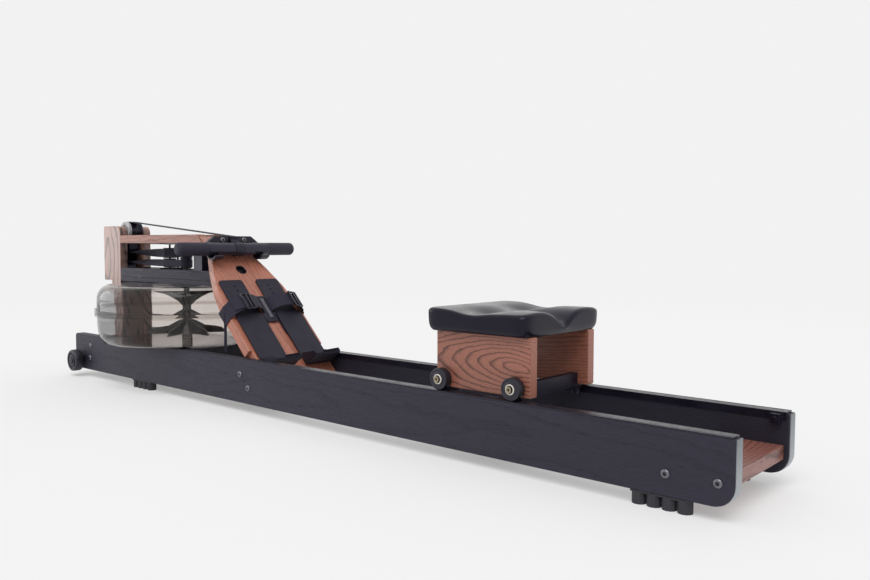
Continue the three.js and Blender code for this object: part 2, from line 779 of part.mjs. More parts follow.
const coreEnd = handleLength / 2 - handleEndRadius;
const gripBore = handleCoreRadius + fitGap;
const gripStart = clipHalfWidth + fitGap;
const gripEnd = handleLength / 2;
const gripProfile = [
  [gripBore, gripStart], [handleRadius, gripStart], [handleRadius, gripEnd - handleEndRadius],
  [handleRadius - handleEndRadius * (1 - Math.SQRT1_2), gripEnd - handleEndRadius * (1 - Math.SQRT1_2)],
  [handleRadius - handleEndRadius, gripEnd], [0, gripEnd], [0, coreEnd + fitGap],
  [gripBore, coreEnd + fitGap],
  [gripBore, gripStart],
];
addPair('handle_grip', 'rubber', revolved('y', gripProfile, pulleySides), handle);

const clipRadius = gripBore + clipWall;
const coreRod = rod('y', handleCoreRadius, -coreEnd, coreEnd, [0, 0, 0], pulleySides);
const clipRing = rod('y', clipRadius, -clipHalfWidth, clipHalfWidth, [0, 0, 0], pulleySides);
const clipTab = block(-clipTabThickness / 2, clipTabThickness / 2, -clipHalfWidth, clipHalfWidth,
  (gripBore + clipRadius) / 2, clipRadius + clipTabLength);
clipTab.rotateY(-clipTabLean);
addPart('handle_bar', 'blackPlastic', fuse(coreRod, clipRing, clipTab), handle);
const clipEnd = [handleX - Math.sin(clipTabLean) * (clipRadius + clipTabLength),
  handleZ + Math.cos(clipTabLean) * (clipRadius + clipTabLength)];

// Handle hooks: an upright plate with a notch below, and two arms that curl under the handle

const hookBack = hookFace + fitGap;
const hookFront = hookBack + hookPlateThickness;
function makeHook() {
  const plate = extruded('x', polygon([
    [-hookOverlap, hookVeeTop], [0, hookVeeTop], [hookVeeHalfWidth, hookVeeBottom],
    [hookArmInner, hookVeeBottom], [hookArmInner, hookArmTop], [hookArmOuter, hookArmTop],
    [hookArmOuter, hookTop - hookShoulderDrop], [hookShoulder, hookTop], [hookSlotHalfWidth, hookTop],
    [hookSlotHalfWidth, hookSlotFloor], [-hookOverlap, hookSlotFloor],
  ]), hookBack, hookFront);
  const outerRadius = hookInnerRadius + hookThickness;
  const curl = new THREE.Shape();
  const tip = 1.5 * Math.PI + hookTipAngle;
  const curlX = hookFront + hookInnerRadius;
  curl.moveTo(curlX - outerRadius, hookArmTop + hookThickness);
  curl.lineTo(curlX - outerRadius, handleZ);
  curl.absarc(curlX, handleZ, outerRadius, Math.PI, tip, false);
  curl.absarc(curlX, handleZ, hookInnerRadius, tip, Math.PI, true);
  curl.lineTo(hookFront, hookArmTop + hookThickness);
  const arm = extruded('y', curl, hookArmInner, hookArmOuter);
  return fuse(plate, arm);
}
const hook = makeHook();
addPart('handle_hooks', 'blackPlastic', fuse(hook, mirrorY(hook)));

// Transport wheels

const transportBore = transportAxleRadius + runningGap;
const transportHalf = transportWidth / 2;
const transportProfile = [
  [transportBore, -transportHalf], [transportRadius - transportEdge, -transportHalf],
  [transportRadius, transportEdge - transportHalf], [transportRadius, transportHalf - transportEdge],
  [transportRadius - transportEdge, transportHalf], [transportGrooveOuter, transportHalf],
  [transportGrooveOuter, transportHalf - transportGrooveDepth],
  [transportGrooveInner, transportHalf - transportGrooveDepth], [transportGrooveInner, transportHalf],
  [transportHubRadius, transportHalf], [transportHubRadius, transportHalf - transportGrooveDepth / 2],
  [transportBore, transportHalf - transportGrooveDepth / 2], [transportBore, -transportHalf],
];
const transportWheel = revolved('y', transportProfile, wheelSides);
const transportY = transportInner + transportHalf;
addPair('transport_wheel', 'rubber', transportWheel.translate(transportX, transportY, transportZ));

const axleTip = transportInner + transportWidth + fitGap;
const axleShaft = rod('y', transportAxleRadius, -axleTip, axleTip, [transportX, 0, transportZ], headSides);
const axleCollar = rod('y', transportHubRadius, railOuter + fitGap, transportInner - fitGap,
  [transportX, 0, transportZ], pulleySides);
const axleCap = revolved('y', [[0, axleTip], [transportHubRadius, axleTip],
  [transportHubRadius - axleCapHeight, axleTip + axleCapHeight], [0, axleTip + axleCapHeight]], pulleySides)
  .translate(transportX, 0, transportZ);
const transportAxle = fuse(axleShaft, axleCollar, mirrorY(axleCollar), axleCap, mirrorY(axleCap));
addPart('transport_axle', 'blackSteel', transportAxle);

// Tank shells: smoked walls drawn as one turned profile each

function arcPoints(centreR, centreZ, reachR, reachZ, start, end) {
  return Array.from({ length: arcSteps + 1 }, (_, i) => {
    const angle = start + (end - start) * i / arcSteps;
    return [centreR + reachR * Math.cos(angle), centreZ + reachZ * Math.sin(angle)];
  });
}
const seamTop = tankSeamZ + fitGap;
const upperProfile = [
  [tankHoleRadius, tankTop - tankWall], [tankHoleRadius, tankTop],
  ...arcPoints(tankRadius - tankShoulderReach, tankTop - tankShoulderDrop, tankShoulderReach,
    tankShoulderDrop, Math.PI / 2, 0),
  [tankRadius, seamTop + tankFlangeHeight], [tankFlangeRadius, seamTop + tankFlangeHeight],
  [tankFlangeRadius, seamTop], [tankRadius - tankWall, seamTop],
  ...arcPoints(tankRadius - tankShoulderReach, tankTop - tankShoulderDrop, tankShoulderReach - tankWall,
    tankShoulderDrop - tankWall, 0, Math.PI / 2),
  [tankHoleRadius, tankTop - tankWall],
];
const plug = revolved('z', [[0, tankTop - tankWall], [plugRadius, tankTop - tankWall],
  [plugRadius, tankTop + plugCapHeight], [0, tankTop + plugCapHeight]], pulleySides).translate(0, plugY, 0);
const upperShell = fuse(revolved('z', upperProfile, fineSides), plug);
addPart('tank_upper_shell', 'smokedShell', upperShell).position.set(tankX, 0, 0);

const lowerProfile = [
  [0, tankBottom], ...arcPoints(tankRadius - tankBilgeReach, tankBottom + tankBilgeRise, tankBilgeReach,
    tankBilgeRise, -Math.PI / 2, 0),
  [tankRadius, tankSeamZ - tankFlangeHeight], [tankFlangeRadius, tankSeamZ - tankFlangeHeight],
  [tankFlangeRadius, tankSeamZ], [tankRadius - tankWall, tankSeamZ],
  ...arcPoints(tankRadius - tankBilgeReach, tankBottom + tankBilgeRise, tankBilgeReach - tankWall,
    tankBilgeRise - tankWall, 0, -Math.PI / 2),
  [tankBossRadius, tankBottom + tankWall], [tankBossRadius, tankBottom + tankWall + tankBossHeight],
  [0, tankBottom + tankWall + tankBossHeight],
];
const ringInner = tankFlangeRadius + fitGap;
const ringOuter = ringInner + seamRingThickness;
const ringProfile = [
  [ringInner, tankSeamZ - fitGap], [tankFlangeRadius - fitGap, tankSeamZ - fitGap],
  [tankFlangeRadius - fitGap, tankSeamZ - seamRingHalfHeight], [ringOuter, tankSeamZ - seamRingHalfHeight],
  [ringOuter, tankSeamZ + seamRingHalfHeight], [ringInner, tankSeamZ + seamRingHalfHeight],
  [ringInner, tankSeamZ - fitGap],
];
const lowerShell = fuse(revolved('z', lowerProfile, fineSides), revolved('z', ringProfile, fineSides));
addPart('tank_lower_shell', 'smokedShell', lowerShell).position.set(tankX, 0, 0);

// Impeller: a waisted hub with vanes, turning with the shaft

const impellerBottom = tankBottom + tankWall + tankBossHeight + fitGap;
const impellerHeight = impellerTop - impellerBottom;
function impellerLevel(share) {
  return impellerBottom + impellerHeight * share;
}
const drumTop = driveLevel + strapWidth / 2 + runningGap + drumFlangeWidth;
const shaftTop = plankBottom - bridgeThickness - fitGap;
function makeImpeller() {
  const vaneOutline = polygon([
    [0, impellerBottom], [vaneBottomRadius, impellerBottom],
    ...vaneLowerRadiusShares.map(
      (share, i) => [vaneBottomRadius * share, impellerLevel(vaneLowerHeightShares[i])])
      .reverse(),
    [vaneWaistRadius, impellerLevel(waistLowShare)], [vaneWaistRadius, impellerLevel(waistHighShare)],
    ...vaneUpperRadiusShares.map(
      (share, i) => [vaneTopRadius * share, impellerLevel(vaneUpperHeightShares[i])])
      .reverse(),
    [vaneTopRadius, impellerTop], [0, impellerTop],
  ]);
  const vane = extruded('y', vaneOutline, -vaneThickness / 2, vaneThickness / 2);
  const vaneAngle = 2 * Math.PI / impellerVanes;
  const vanes = Array.from({ length: impellerVanes }, (_, i) => vane.clone().rotateZ(vaneAngle * i));
  const hub = revolved('z', [
    [0, impellerBottom], [hubBottomRadius, impellerBottom], [hubWaistRadius, impellerLevel(hubWaistLowShare)],
    [hubWaistRadius, impellerLevel(hubWaistHighShare)], [hubTopRadius, impellerTop], [0, impellerTop],
  ], pulleySides);
  const shaft = rod('z', shaftRadius, impellerBottom, shaftTop, [0, 0, 0], headSides);
  return fuse(hub, shaft, ...vanes);
}
addPart('impeller', 'smokedVane', makeImpeller()).position.set(tankX, 0, 0);

// Bearings of the shaft: a block on the top plate below the drum, and a bridge under the planks

const shaftBore = shaftRadius + runningGap;
const bearingFloor = topPlateTop + fitGap;
const bearingBase = block(-bearingRadius, bearingRadius, -bearingRadius, bearingRadius,
  bearingFloor, bearingFloor + bracketSheet);
const bearingTop = bearingFloor + bearingHeight;
const bearingBoss = rod('z', bearingRadius, bearingFloor, bearingTop, [0, 0, 0], pulleySides);
const bearingBore = rod('z', shaftBore, bearingFloor - cutOverrun, bearingTop + cutOverrun,
  [0, 0, 0], headSides);
const shaftBearing = cut(fuse(bearingBoss, bearingBase), bearingBore);
addPart('shaft_bearing', 'blackSteel', shaftBearing).position.set(tankX, 0, 0);

const bridgePlate = block(-bridgeLength / 2, bridgeLength / 2, -postHalfWidth, postHalfWidth,
  shaftTop, plankBottom - fitGap);
const bridgeBoss = rod('z', bridgeBossRadius, shaftTop - bridgeBossHeight, shaftTop + bracketSheet / 2,
  [0, 0, 0], headSides);
const bridgeBore = rod('z', shaftBore, shaftTop - bridgeBossHeight - cutOverrun, shaftTop + fitGap,
  [0, 0, 0], headSides);
const shaftBridge = cut(fuse(bridgePlate, bridgeBoss), bridgeBore);
addPart('shaft_bridge', 'blackSteel', shaftBridge).position.set(tankX, 0, 0);

// Clutch drum: a lower groove for the recoil belt and an upper one for the handle strap

const drumBottom = recoilLevel - recoilWidth / 2 - runningGap - drumFlangeWidth;
const drumSplit = (recoilLevel + recoilWidth / 2 + driveLevel - strapWidth / 2) / 2;
const flangeRadius = drumRadius + drumFlange;
const drumProfile = [
  [shaftBore, drumBottom], [flangeRadius, drumBottom], [flangeRadius, drumBottom + drumFlangeWidth / 2],
  [drumRadius, drumBottom + drumFlangeWidth], [drumRadius, drumSplit - drumFlangeWidth],
  [flangeRadius, drumSplit - drumFlangeWidth / 2], [flangeRadius, drumSplit + drumFlangeWidth / 2],
  [drumRadius, drumSplit + drumFlangeWidth], [drumRadius, drumTop - drumFlangeWidth],
  [flangeRadius, drumTop - drumFlangeWidth / 2], [flangeRadius, drumTop], [shaftBore, drumTop],
  [shaftBore, drumBottom],
];
addPart('clutch_drum', 'blackPlastic', revolved('z', drumProfile, pulleySides)).position.set(tankX, 0, 0);

// Guide rollers on one upright rod, with a guard rod beside them

function rimmedProfile(bore, radius, halfWidth, rim, rimWidth) {
  return [
    [bore, -halfWidth], [radius + rim, -halfWidth], [radius + rim, -halfWidth + rimWidth / 2],
    [radius, -halfWidth + rimWidth], [radius, halfWidth - rimWidth],
    [radius + rim, halfWidth - rimWidth / 2], [radius + rim, halfWidth], [bore, halfWidth],
    [bore, -halfWidth],
  ];
}
const rollerBore = rollerRodRadius + runningGap;
const upperRollerHalf = strapWidth / 2 + runningGap + pulleyFlangeWidth;
const lowerRollerHalf = recoilWidth / 2 + runningGap + pulleyFlangeWidth;
const upperRoller = revolved('z', rimmedProfile(rollerBore, rollerRadius, upperRollerHalf, rollerFlange,
  pulleyFlangeWidth), pulleySides);
const lowerRoller = revolved('z', rimmedProfile(rollerBore, rollerRadius, lowerRollerHalf, rollerFlange,
  pulleyFlangeWidth), pulleySides);
addPart('guide_roller_upper', 'blackPlastic', upperRoller).position.set(rollerX, 0, driveLevel);
addPart('guide_roller_lower', 'blackPlastic', lowerRoller).position.set(rollerX, 0, recoilLevel);

const framePlateStart = rollerX - rollerPlateMargin;
const framePlateEnd = rollerX + guardRodShift + rollerPlateMargin / 2;
const framePlate = (floor) => block(framePlateStart, framePlateEnd, -postHalfWidth, postHalfWidth,
  floor, floor + rollerPlateThickness);
const frameBottom = beamTop + fitGap;
const frameTop = plankBottom - fitGap;
const rollerFrame = fuse(
  framePlate(frameBottom),
  framePlate(frameTop - rollerPlateThickness),
  rod('z', rollerRodRadius, frameBottom, frameTop, [rollerX, 0, 0]),
  rod('z', rollerRodRadius, frameBottom, frameTop, [rollerX + guardRodShift, guardRodY, 0]),
);
addPart('roller_frame', 'blackSteel', rollerFrame);

// Pulleys in the kingpost

const pulleyBore = pulleyPinRadius + runningGap;
const pulleyForms = {
  top_pulley: [topPulleyRadius, topPulleyHalfWidth, 'greyPlastic'],
  drive_pulley: [linePulleyRadius, linePulleyHalfWidth, 'blackPlastic'],
  recoil_pulley: [linePulleyRadius, linePulleyHalfWidth, 'blackPlastic'],
  base_pulley: [basePulleyRadius, basePulleyHalfWidth, 'blackPlastic'],
};
for (const [name, [radius, halfWidth, finish]] of Object.entries(pulleyForms)) {
  const profile = rimmedProfile(pulleyBore, radius, halfWidth, pulleyFlange, pulleyFlangeWidth);
  const [x, z] = pulleyPlaces[name];
  addPart(name, finish, revolved('y', profile, pulleySides)).position.set(x, 0, z);
}

const topAxle = rod('y', pulleyPinRadius, -pulleyPinReach, pulleyPinReach, [topX, 0, topZ]);
addPart('top_pulley_axle', 'steel', topAxle);

// Steel bracket in the channel that carries the drive pulley and the recoil pulley
const [driveX, driveZ] = pulleyPlaces.drive_pulley;
const [recoilX, recoilZ] = pulleyPlaces.recoil_pulley;
const lineCheekInner = linePulleyHalfWidth + runningGap;
const lineCheekOuter = lineCheekInner + bracketSheet;
const bracketBack = postFront + postBoardThickness + fitGap;
const linePlate = block(bracketBack, bracketBack + bracketSheet, -lineCheekOuter, lineCheekOuter,
  recoilZ - linePulleyRadius, driveZ + linePulleyRadius);
const lineCheek = extruded('y', polygon([
  [bracketBack, recoilZ - linePulleyRadius], [recoilX + bracketEyeRadius, recoilZ - bracketEyeRadius],
  [recoilX + bracketEyeRadius, recoilZ + bracketEyeRadius],
  [driveX + bracketEyeRadius, driveZ - bracketEyeRadius],
  [driveX + bracketEyeRadius, driveZ + bracketEyeRadius], [bracketBack, driveZ + linePulleyRadius],
]), lineCheekInner, lineCheekOuter);
const linePins = [[driveX, driveZ], [recoilX, recoilZ]]
  .map(([x, z]) => rod('y', pulleyPinRadius, -lineCheekOuter, lineCheekOuter, [x, 0, z]));
addPart('pulley_bracket', 'blackSteel', fuse(linePlate, lineCheek, mirrorY(lineCheek), ...linePins));

// Bracket under the front cross board for the pulley that turns the recoil belt along the floor
const [baseX, baseZ] = pulleyPlaces.base_pulley;
const cheekInner = basePulleyHalfWidth + runningGap;
const cheekTop = frontBoardBottom - fitGap;
const cheekOutline = roundedRect(baseX - baseCheekLength / 2, baseX + baseCheekLength / 2,
  baseZ - baseCheekLength / 2, cheekTop, [baseCheekThickness, baseCheekThickness, 0, 0]);
const cheek = extruded('y', cheekOutline, cheekInner, cheekInner + baseCheekThickness);
const basePin = rod('y', pulleyPinRadius, -cheekInner - baseCheekThickness, cheekInner + baseCheekThickness,
  [baseX, 0, baseZ]);
addPart('base_pulley_bracket', 'steel', fuse(basePin, cheek, mirrorY(cheek)));

// Belts: a flat band swept through stations, each with its place, its outward side and its width direction

function band(stations, width, thickness) {
  const corners = [];
  for (const { at, out, along } of stations) {
    const across = new THREE.Vector3().crossVectors(along, out).normalize().multiplyScalar(width / 2);
    const lift = out.clone().normalize().multiplyScalar(thickness);
    corners.push(at.clone().add(across), at.clone().sub(across));
    corners.push(at.clone().sub(across).add(lift), at.clone().add(across).add(lift));
  }
  const index = [0, 1, 2, 0, 2, 3];
  for (let ring = 0; ring < stations.length - 1; ring += 1) {
    for (let k = 0; k < 4; k += 1) {
      const a = ring * 4 + k;
      const b = ring * 4 + (k + 1) % 4;
      index.push(a, a + 4, b, b, a + 4, b + 4);
    }
  }
  const last = (stations.length - 1) * 4;
  index.push(last, last + 2, last + 1, last, last + 3, last + 2);
  const geometry = new THREE.BufferGeometry();
  geometry.setAttribute('position', new THREE.Float32BufferAttribute(corners.flatMap((p) => p.toArray()), 3));
  geometry.setIndex(index);
  return weld(geometry);
}

// Stations round a wheel whose axle lies along Y; turn is +1 or -1 seen from the left side
function wrapY(place, radius, start, end) {
  const turn = Math.sign(end - start);
  return Array.from({ length: wrapSteps + 1 }, (_, i) => {
    const angle = start + (end - start) * i / wrapSteps;
    const out = new THREE.Vector3(Math.cos(angle), 0, Math.sin(angle));
    const along = new THREE.Vector3(-Math.sin(angle) * turn, 0, Math.cos(angle) * turn);
    return { at: new THREE.Vector3(place[0], 0, place[1]).addScaledVector(out, radius), out, along };
  });
}

// Stations round an upright wheel; facing is +1 where the band's inner face lies on the wheel
function wrapZ(x, level, radius, start, end, facing) {
  const turn = Math.sign(end - start);
  return Array.from({ length: wrapSteps + 1 }, (_, i) => {
    const angle = start + (end - start) * i / wrapSteps;
    const radial = new THREE.Vector3(Math.cos(angle), Math.sin(angle), 0);
    const along = new THREE.Vector3(-Math.sin(angle) * turn, Math.cos(angle) * turn, 0);
    const at = new THREE.Vector3(x, 0, level).addScaledVector(radial, radius);
    return { at, out: radial.multiplyScalar(facing), along };
  });
}

// Heading of the line that leaves wheel 1 and meets wheel 2, both centred on y = 0.
// side is +1 where the line passes on the left of a wheel's centre, -1 on its right.
function tangentHeading(x1, radius1, side1, x2, radius2, side2) {
  return -Math.asin((side1 * radius1 - side2 * radius2) / (x2 - x1));
}

// The quarter twist between a flat run at a pulley and an upright run at a roller
function twistRun(from, to, flatOut, heading) {
  const along = to.clone().sub(from).normalize();
  const uprightOut = new THREE.Vector3(Math.sin(heading), -Math.cos(heading), 0);
  const steps = [];
  for (let i = 1; i < twistSteps; i += 1) {
    const share = i / twistSteps;
    const angle = share * Math.PI / 2;
    const out = flatOut.clone().multiplyScalar(Math.cos(angle)).addScaledVector(uprightOut, Math.sin(angle));
    steps.push({ at: from.clone().lerp(to, share), out, along });
  }
  return steps;
}

const skin = fitGap;
const topWrap = topPulleyRadius + skin;
const lineWrap = linePulleyRadius + skin;
const rollerWrap = rollerRadius + skin;
const drumWrap = drumRadius + skin;

function driveStrapStations() {
  const crest = [hookFront + clipTabThickness / 2, hookSlotFloor + beltThickness];
  const slope = Math.atan2(crest[1] - (topZ + topWrap), crest[0] - topX);
  const crown = Math.PI / 2 + slope;
  const frontRun = new THREE.Vector3(Math.cos(slope), 0, Math.sin(slope)).negate();
  const drop = new THREE.Vector3(-Math.sin(clipTabLean), 0, Math.cos(clipTabLean));
  const dropOut = new THREE.Vector3(Math.cos(clipTabLean), 0, Math.sin(clipTabLean));
  const end = new THREE.Vector3(clipEnd[0], 0, clipEnd[1]).addScaledVector(drop, fitGap)
    .addScaledVector(dropOut, -beltThickness / 2);
  const crestOut = new THREE.Vector3(0, 0, 1).add(dropOut);
  const stations = [
    { at: end, out: dropOut, along: drop },
    { at: new THREE.Vector3(crest[0], 0, crest[1]), out: crestOut, along: frontRun },
  ];
  const overTop = wrapY([topX, topZ], topWrap, crown, Math.PI);
  const underLine = wrapY(pulleyPlaces.drive_pulley, lineWrap, Math.PI, 1.5 * Math.PI);
  stations.push(...overTop, ...underLine);
  const start = underLine[underLine.length - 1].at;
  const heading = tangentHeading(start.x, 0, 1, rollerX, rollerWrap, -1);
  const crossing = tangentHeading(rollerX, rollerWrap, -1, tankX, drumWrap + beltThickness, 1);
  const roller = wrapZ(rollerX, driveLevel, rollerWrap, heading - Math.PI / 2, crossing - Math.PI / 2, 1);
  stations.push(...twistRun(start, roller[0].at, new THREE.Vector3(0, 0, -1), heading), ...roller);
  const meet = crossing + Math.PI / 2;
  stations.push(...wrapZ(tankX, driveLevel, drumWrap + beltThickness, meet, meet - upperDrumWrap, -1));
  return stations;
}
addPart('drive_strap', 'webbing', band(driveStrapStations(), strapWidth, beltThickness));

function recoilBeltStations() {
  const [lineX, lineZ] = pulleyPlaces.recoil_pulley;
  const overLine = wrapY([lineX, lineZ], lineWrap, Math.PI / 2, Math.PI);
  const start = overLine[0].at;
  const heading = tangentHeading(start.x, 0, 1, rollerX, rollerWrap, -1);
  const crossing = tangentHeading(rollerX, rollerWrap, -1, tankX, drumWrap, -1);
  const roller = wrapZ(rollerX, recoilLevel, rollerWrap, heading - Math.PI / 2,
    crossing - Math.PI / 2 + weldTolerance, 1);
  const meet = crossing - Math.PI / 2;
  const drum = wrapZ(tankX, recoilLevel, drumWrap, meet, meet + lowerDrumWrap, 1);
  const twist = twistRun(start, roller[0].at, new THREE.Vector3(0, 0, 1), heading);
  const upperLine = [...twist, ...roller, ...drum].reverse()
    .map(({ at, out, along }) => ({ at, out, along: along.clone().negate() }));
  const underBase = wrapY([baseX, baseZ], basePulleyRadius + skin, Math.PI, 1.5 * Math.PI);
  const runZ = baseZ - basePulleyRadius - skin;
  const runEnd = new THREE.Vector3(recoilRunEnd, 0, runZ);
  const runOut = { at: runEnd, out: new THREE.Vector3(0, 0, -1), along: new THREE.Vector3(1, 0, 0) };
  return [...upperLine, ...overLine, ...underBase, runOut];
}
addPart('recoil_belt', 'webbing', band(recoilBeltStations(), recoilWidth, beltThickness));

// Bungee: from the end of the recoil belt, round the tail pulley and back to the footboard block

const runLevel = baseZ - basePulleyRadius - skin - beltThickness / 2;
const bungeeY = bungeePulleyRadius + bungeeRadius + skin;
const anchorDepth = footboardThickness + fitGap + crossBlockThickness / 2;
const anchorPoint = new THREE.Vector3(crossBlockEnd + fitGap, 0, -anchorDepth)
  .applyAxisAngle(new THREE.Vector3(0, 1, 0), slopeAngle);
const anchorX = footboardFootX + anchorPoint.x;
const anchorZ = railTop + anchorPoint.z;
function makeBungee() {
  const path = new THREE.CurvePath();
  const corner = (angle) => new THREE.Vector3(bungeePulleyX + bungeeY * Math.sin(angle),
    -bungeeY * Math.cos(angle), runLevel);
  path.add(new THREE.LineCurve3(new THREE.Vector3(bungeeStart, 0, runLevel), corner(0)));
  for (let i = 0; i < wrapSteps; i += 1) {
    path.add(new THREE.LineCurve3(corner(Math.PI * i / wrapSteps), corner(Math.PI * (i + 1) / wrapSteps)));
  }
  const knee = new THREE.Vector3(anchorX + anchorZ - runLevel, bungeeY, runLevel);
  path.add(new THREE.LineCurve3(corner(Math.PI), knee));
  path.add(new THREE.LineCurve3(knee, new THREE.Vector3(anchorX, bungeeY, anchorZ)));
  return path;
}

// A round cord swept along the joints of a path
function makeBungeeSolid(path) {
  const joints = [path.curves[0].v1, ...path.curves.map((curve) => curve.v2)];
  const positions = [];
  const index = [];
  joints.forEach((joint, j) => {
    const before = joints[Math.max(j - 1, 0)];
    const after = joints[Math.min(j + 1, joints.length - 1)];
    const along = after.clone().sub(before).normalize();
    const side = new THREE.Vector3(-along.y, along.x, 0).normalize();
    const up = along.clone().cross(side);
    for (let k = 0; k < bungeeSides; k += 1) {
      const angle = 2 * Math.PI * k / bungeeSides;
      const point = joint.clone().addScaledVector(side, bungeeRadius * Math.cos(angle))
        .addScaledVector(up, bungeeRadius * Math.sin(angle));
      positions.push(...point.toArray());
    }
  });
  for (let j = 0; j < joints.length - 1; j += 1) {
    for (let k = 0; k < bungeeSides; k += 1) {
      const a = j * bungeeSides + k;
      const b = j * bungeeSides + (k + 1) % bungeeSides;
      index.push(a, b, a + bungeeSides, b, b + bungeeSides, a + bungeeSides);
    }
  }
  const last = (joints.length - 1) * bungeeSides;
  for (let k = 1; k < bungeeSides - 1; k += 1) {
    index.push(0, k + 1, k, last, last + k, last + k + 1);
  }
  const geometry = new THREE.BufferGeometry();
  geometry.setAttribute('position', new THREE.Float32BufferAttribute(positions, 3));
  geometry.setIndex(index);
  return weld(geometry);
}

addPart('bungee_cord', 'webbing', makeBungeeSolid(makeBungee()));

const groovedPulley = revolved('z', rimmedProfile(bungeePivotRadius + runningGap, bungeePulleyRadius,
  bungeePulleyHeight / 2, pulleyFlange, pulleyFlangeWidth), pulleySides);
addPart('bungee_pulley', 'blackPlastic', groovedPulley).position.set(bungeePulleyX, 0, runLevel);

// Seat carriage, drawn about its own centre

const seatHalf = seatBoardLength / 2;
const axleXs = [seatWheelShift - seatWheelBase / 2, seatWheelShift + seatWheelBase / 2];
const seatBoardInner = seatBoardOuter - seatBoardThickness;
const axleHoleRadius = seatAxleRadius + fitGap;
const axleHoles = axleXs.map(
  (x) => rod('y', axleHoleRadius, -railOuter, railOuter, [x, 0, wheelZ], headSides));
const seatOutline = roundedRect(-seatHalf, seatHalf, seatBoardBottom, seatBoardTop,
  [railCornerRadius, railCornerRadius, railCornerRadius, railCornerRadius]);
const seatBoard = cut(extruded('y', seatOutline, seatBoardInner, seatBoardOuter, boardBevel), ...axleHoles);
addPair('seat_board', 'rosewood', seatBoard, seat);

const barHalf = seatBoardInner - fitGap;
const guideY = trackFace - runningGap - guideRadius;
const wheelOuter = seatBoardOuter + runningGap + seatWheelWidth;
const axleEnd = wheelOuter + fitGap;
const axleRod = rod('y', seatAxleRadius, -axleEnd, axleEnd, [0, 0, wheelZ], headSides);
const axleHead = rod('y', seatAxleHeadRadius, axleEnd, axleEnd + seatAxleHeadHeight,
  [0, 0, wheelZ], boltSides);
const axleBar = block(-seatBarWidth / 2, seatBarWidth / 2, -barHalf, barHalf,
  seatBoardBottom - seatBarDrop, seatBarTop);
const guidePost = rod('z', guideRadius, guideTop - guideHeight, guideTop, [0, guideY, 0], pulleySides);
const guideArm = block(-guideRadius, guideRadius, guideY - seatBoardThickness,
  guideY + guideRadius - seatWheelEdge,
  guideTop - cutOverrun, seatBoardBottom - fitGap);
const axle = fuse(axleRod, axleHead, mirrorY(axleHead), axleBar, guidePost, mirrorY(guidePost), guideArm,
  mirrorY(guideArm));
addPart('seat_axle_front', 'blackPlastic', axle, seat).position.set(axleXs[0], 0, 0);
addPart('seat_axle_rear', 'blackPlastic', axle, seat).position.set(axleXs[1], 0, 0);

const seatWheelBore = seatAxleRadius + runningGap;
const wheelHalf = seatWheelWidth / 2;
const seatWheelProfile = [
  [seatWheelBore, -wheelHalf], [seatWheelRadius - seatWheelEdge, -wheelHalf],
  [seatWheelRadius, seatWheelEdge - wheelHalf], [seatWheelRadius, wheelHalf - seatWheelEdge],
  [seatWheelRadius - seatWheelEdge, wheelHalf], [seatWheelHubRadius, wheelHalf],
  [seatWheelHubRadius - seatWheelHubDish, wheelHalf - seatWheelHubDish],
  [seatWheelBore, wheelHalf - seatWheelHubDish], [seatWheelBore, -wheelHalf],
];
const seatWheel = revolved('y', seatWheelProfile, wheelSides);
const seatWheelY = seatBoardOuter + runningGap + wheelHalf;
const seatWheelRight = seatWheel.translate(0, seatWheelY, wheelZ);
addPair('seat_wheel_front', 'rubber', seatWheelRight.clone().translate(axleXs[0], 0, 0), seat);
addPair('seat_wheel_rear', 'rubber', seatWheelRight.clone().translate(axleXs[1], 0, 0), seat);

// Seat pan and moulded cushion

const panHalfX = seatHalf - basePlateInset;
const panHalfY = seatBoardOuter - fitGap;
const panShape = roundedRect(-panHalfX, panHalfX, -panHalfY, panHalfY,
  [panCorner, panCorner, panCorner, panCorner]);
const panBottom = seatBoardTop + fitGap;
addPart('seat_pan', 'blackPlastic', extruded('z', panShape, panBottom, panBottom + basePlateThickness), seat);

const cushionSeat = panBottom + basePlateThickness + fitGap;
const cushionTop = cushionSeat + cushionHeight;
const cushionFloor = cushionSeat - cushionSkirt;

// The rounded rectangle of the cushion as points, with its long sides drawn in a little
function cushionOutline() {
  const points = [];
  const halfX = cushionLength / 2;
  const halfY = cushionWidth / 2;
  const corners = [[1, 1, 0], [-1, 1, 0.5], [-1, -1, 1], [1, -1, 1.5]];
  corners.forEach(([sx, sy, turn], c) => {
    const centre = [sx * (halfX - cushionCorner), sy * (halfY - cushionCorner)];
    for (let i = 0; i <= cushionCornerSteps; i += 1) {
      const angle = (turn + i / cushionCornerSteps / 2) * Math.PI;
      points.push([centre[0] + cushionCorner * Math.cos(angle), centre[1] + cushionCorner * Math.sin(angle)]);
    }
    const [nx, ny] = corners[(c + 1) % 4];
    const from = points[points.length - 1];
    const to = [nx * (halfX - cushionCorner) + cushionCorner * (c % 2 === 1 ? nx : 0),
      ny * (halfY - cushionCorner) + cushionCorner * (c % 2 === 0 ? ny : 0)];
    for (let i = 1; i < cushionSideSteps; i += 1) {
      const share = i / cushionSideSteps;
      const draw = cushionSideDraw * Math.sin(Math.PI * share);
      points.push([from[0] + (to[0] - from[0]) * share - draw * (c % 2 === 1 ? nx : 0),
        from[1] + (to[1] - from[1]) * share - draw * (c % 2 === 0 ? ny : 0)]);
    }
  });
  return points;
}

// Two hollows for the sitter, and a notch in the middle of the tail edge
function cushionDip(x, y) {
  const hollow = (Math.abs(y) - cushionHollowY) / cushionHollowSpread;
  const alongX = x / cushionHollowSpread;
  const hollows = cushionHollowDepth * Math.exp(-hollow * hollow - alongX * alongX);
  const notchX = (x - cushionLength / 2) / cushionNotchSpread;
  const notchY = y / cushionNotchSpread;
  return hollows + cushionNotchDepth * Math.exp(-notchX * notchX - notchY * notchY);
}

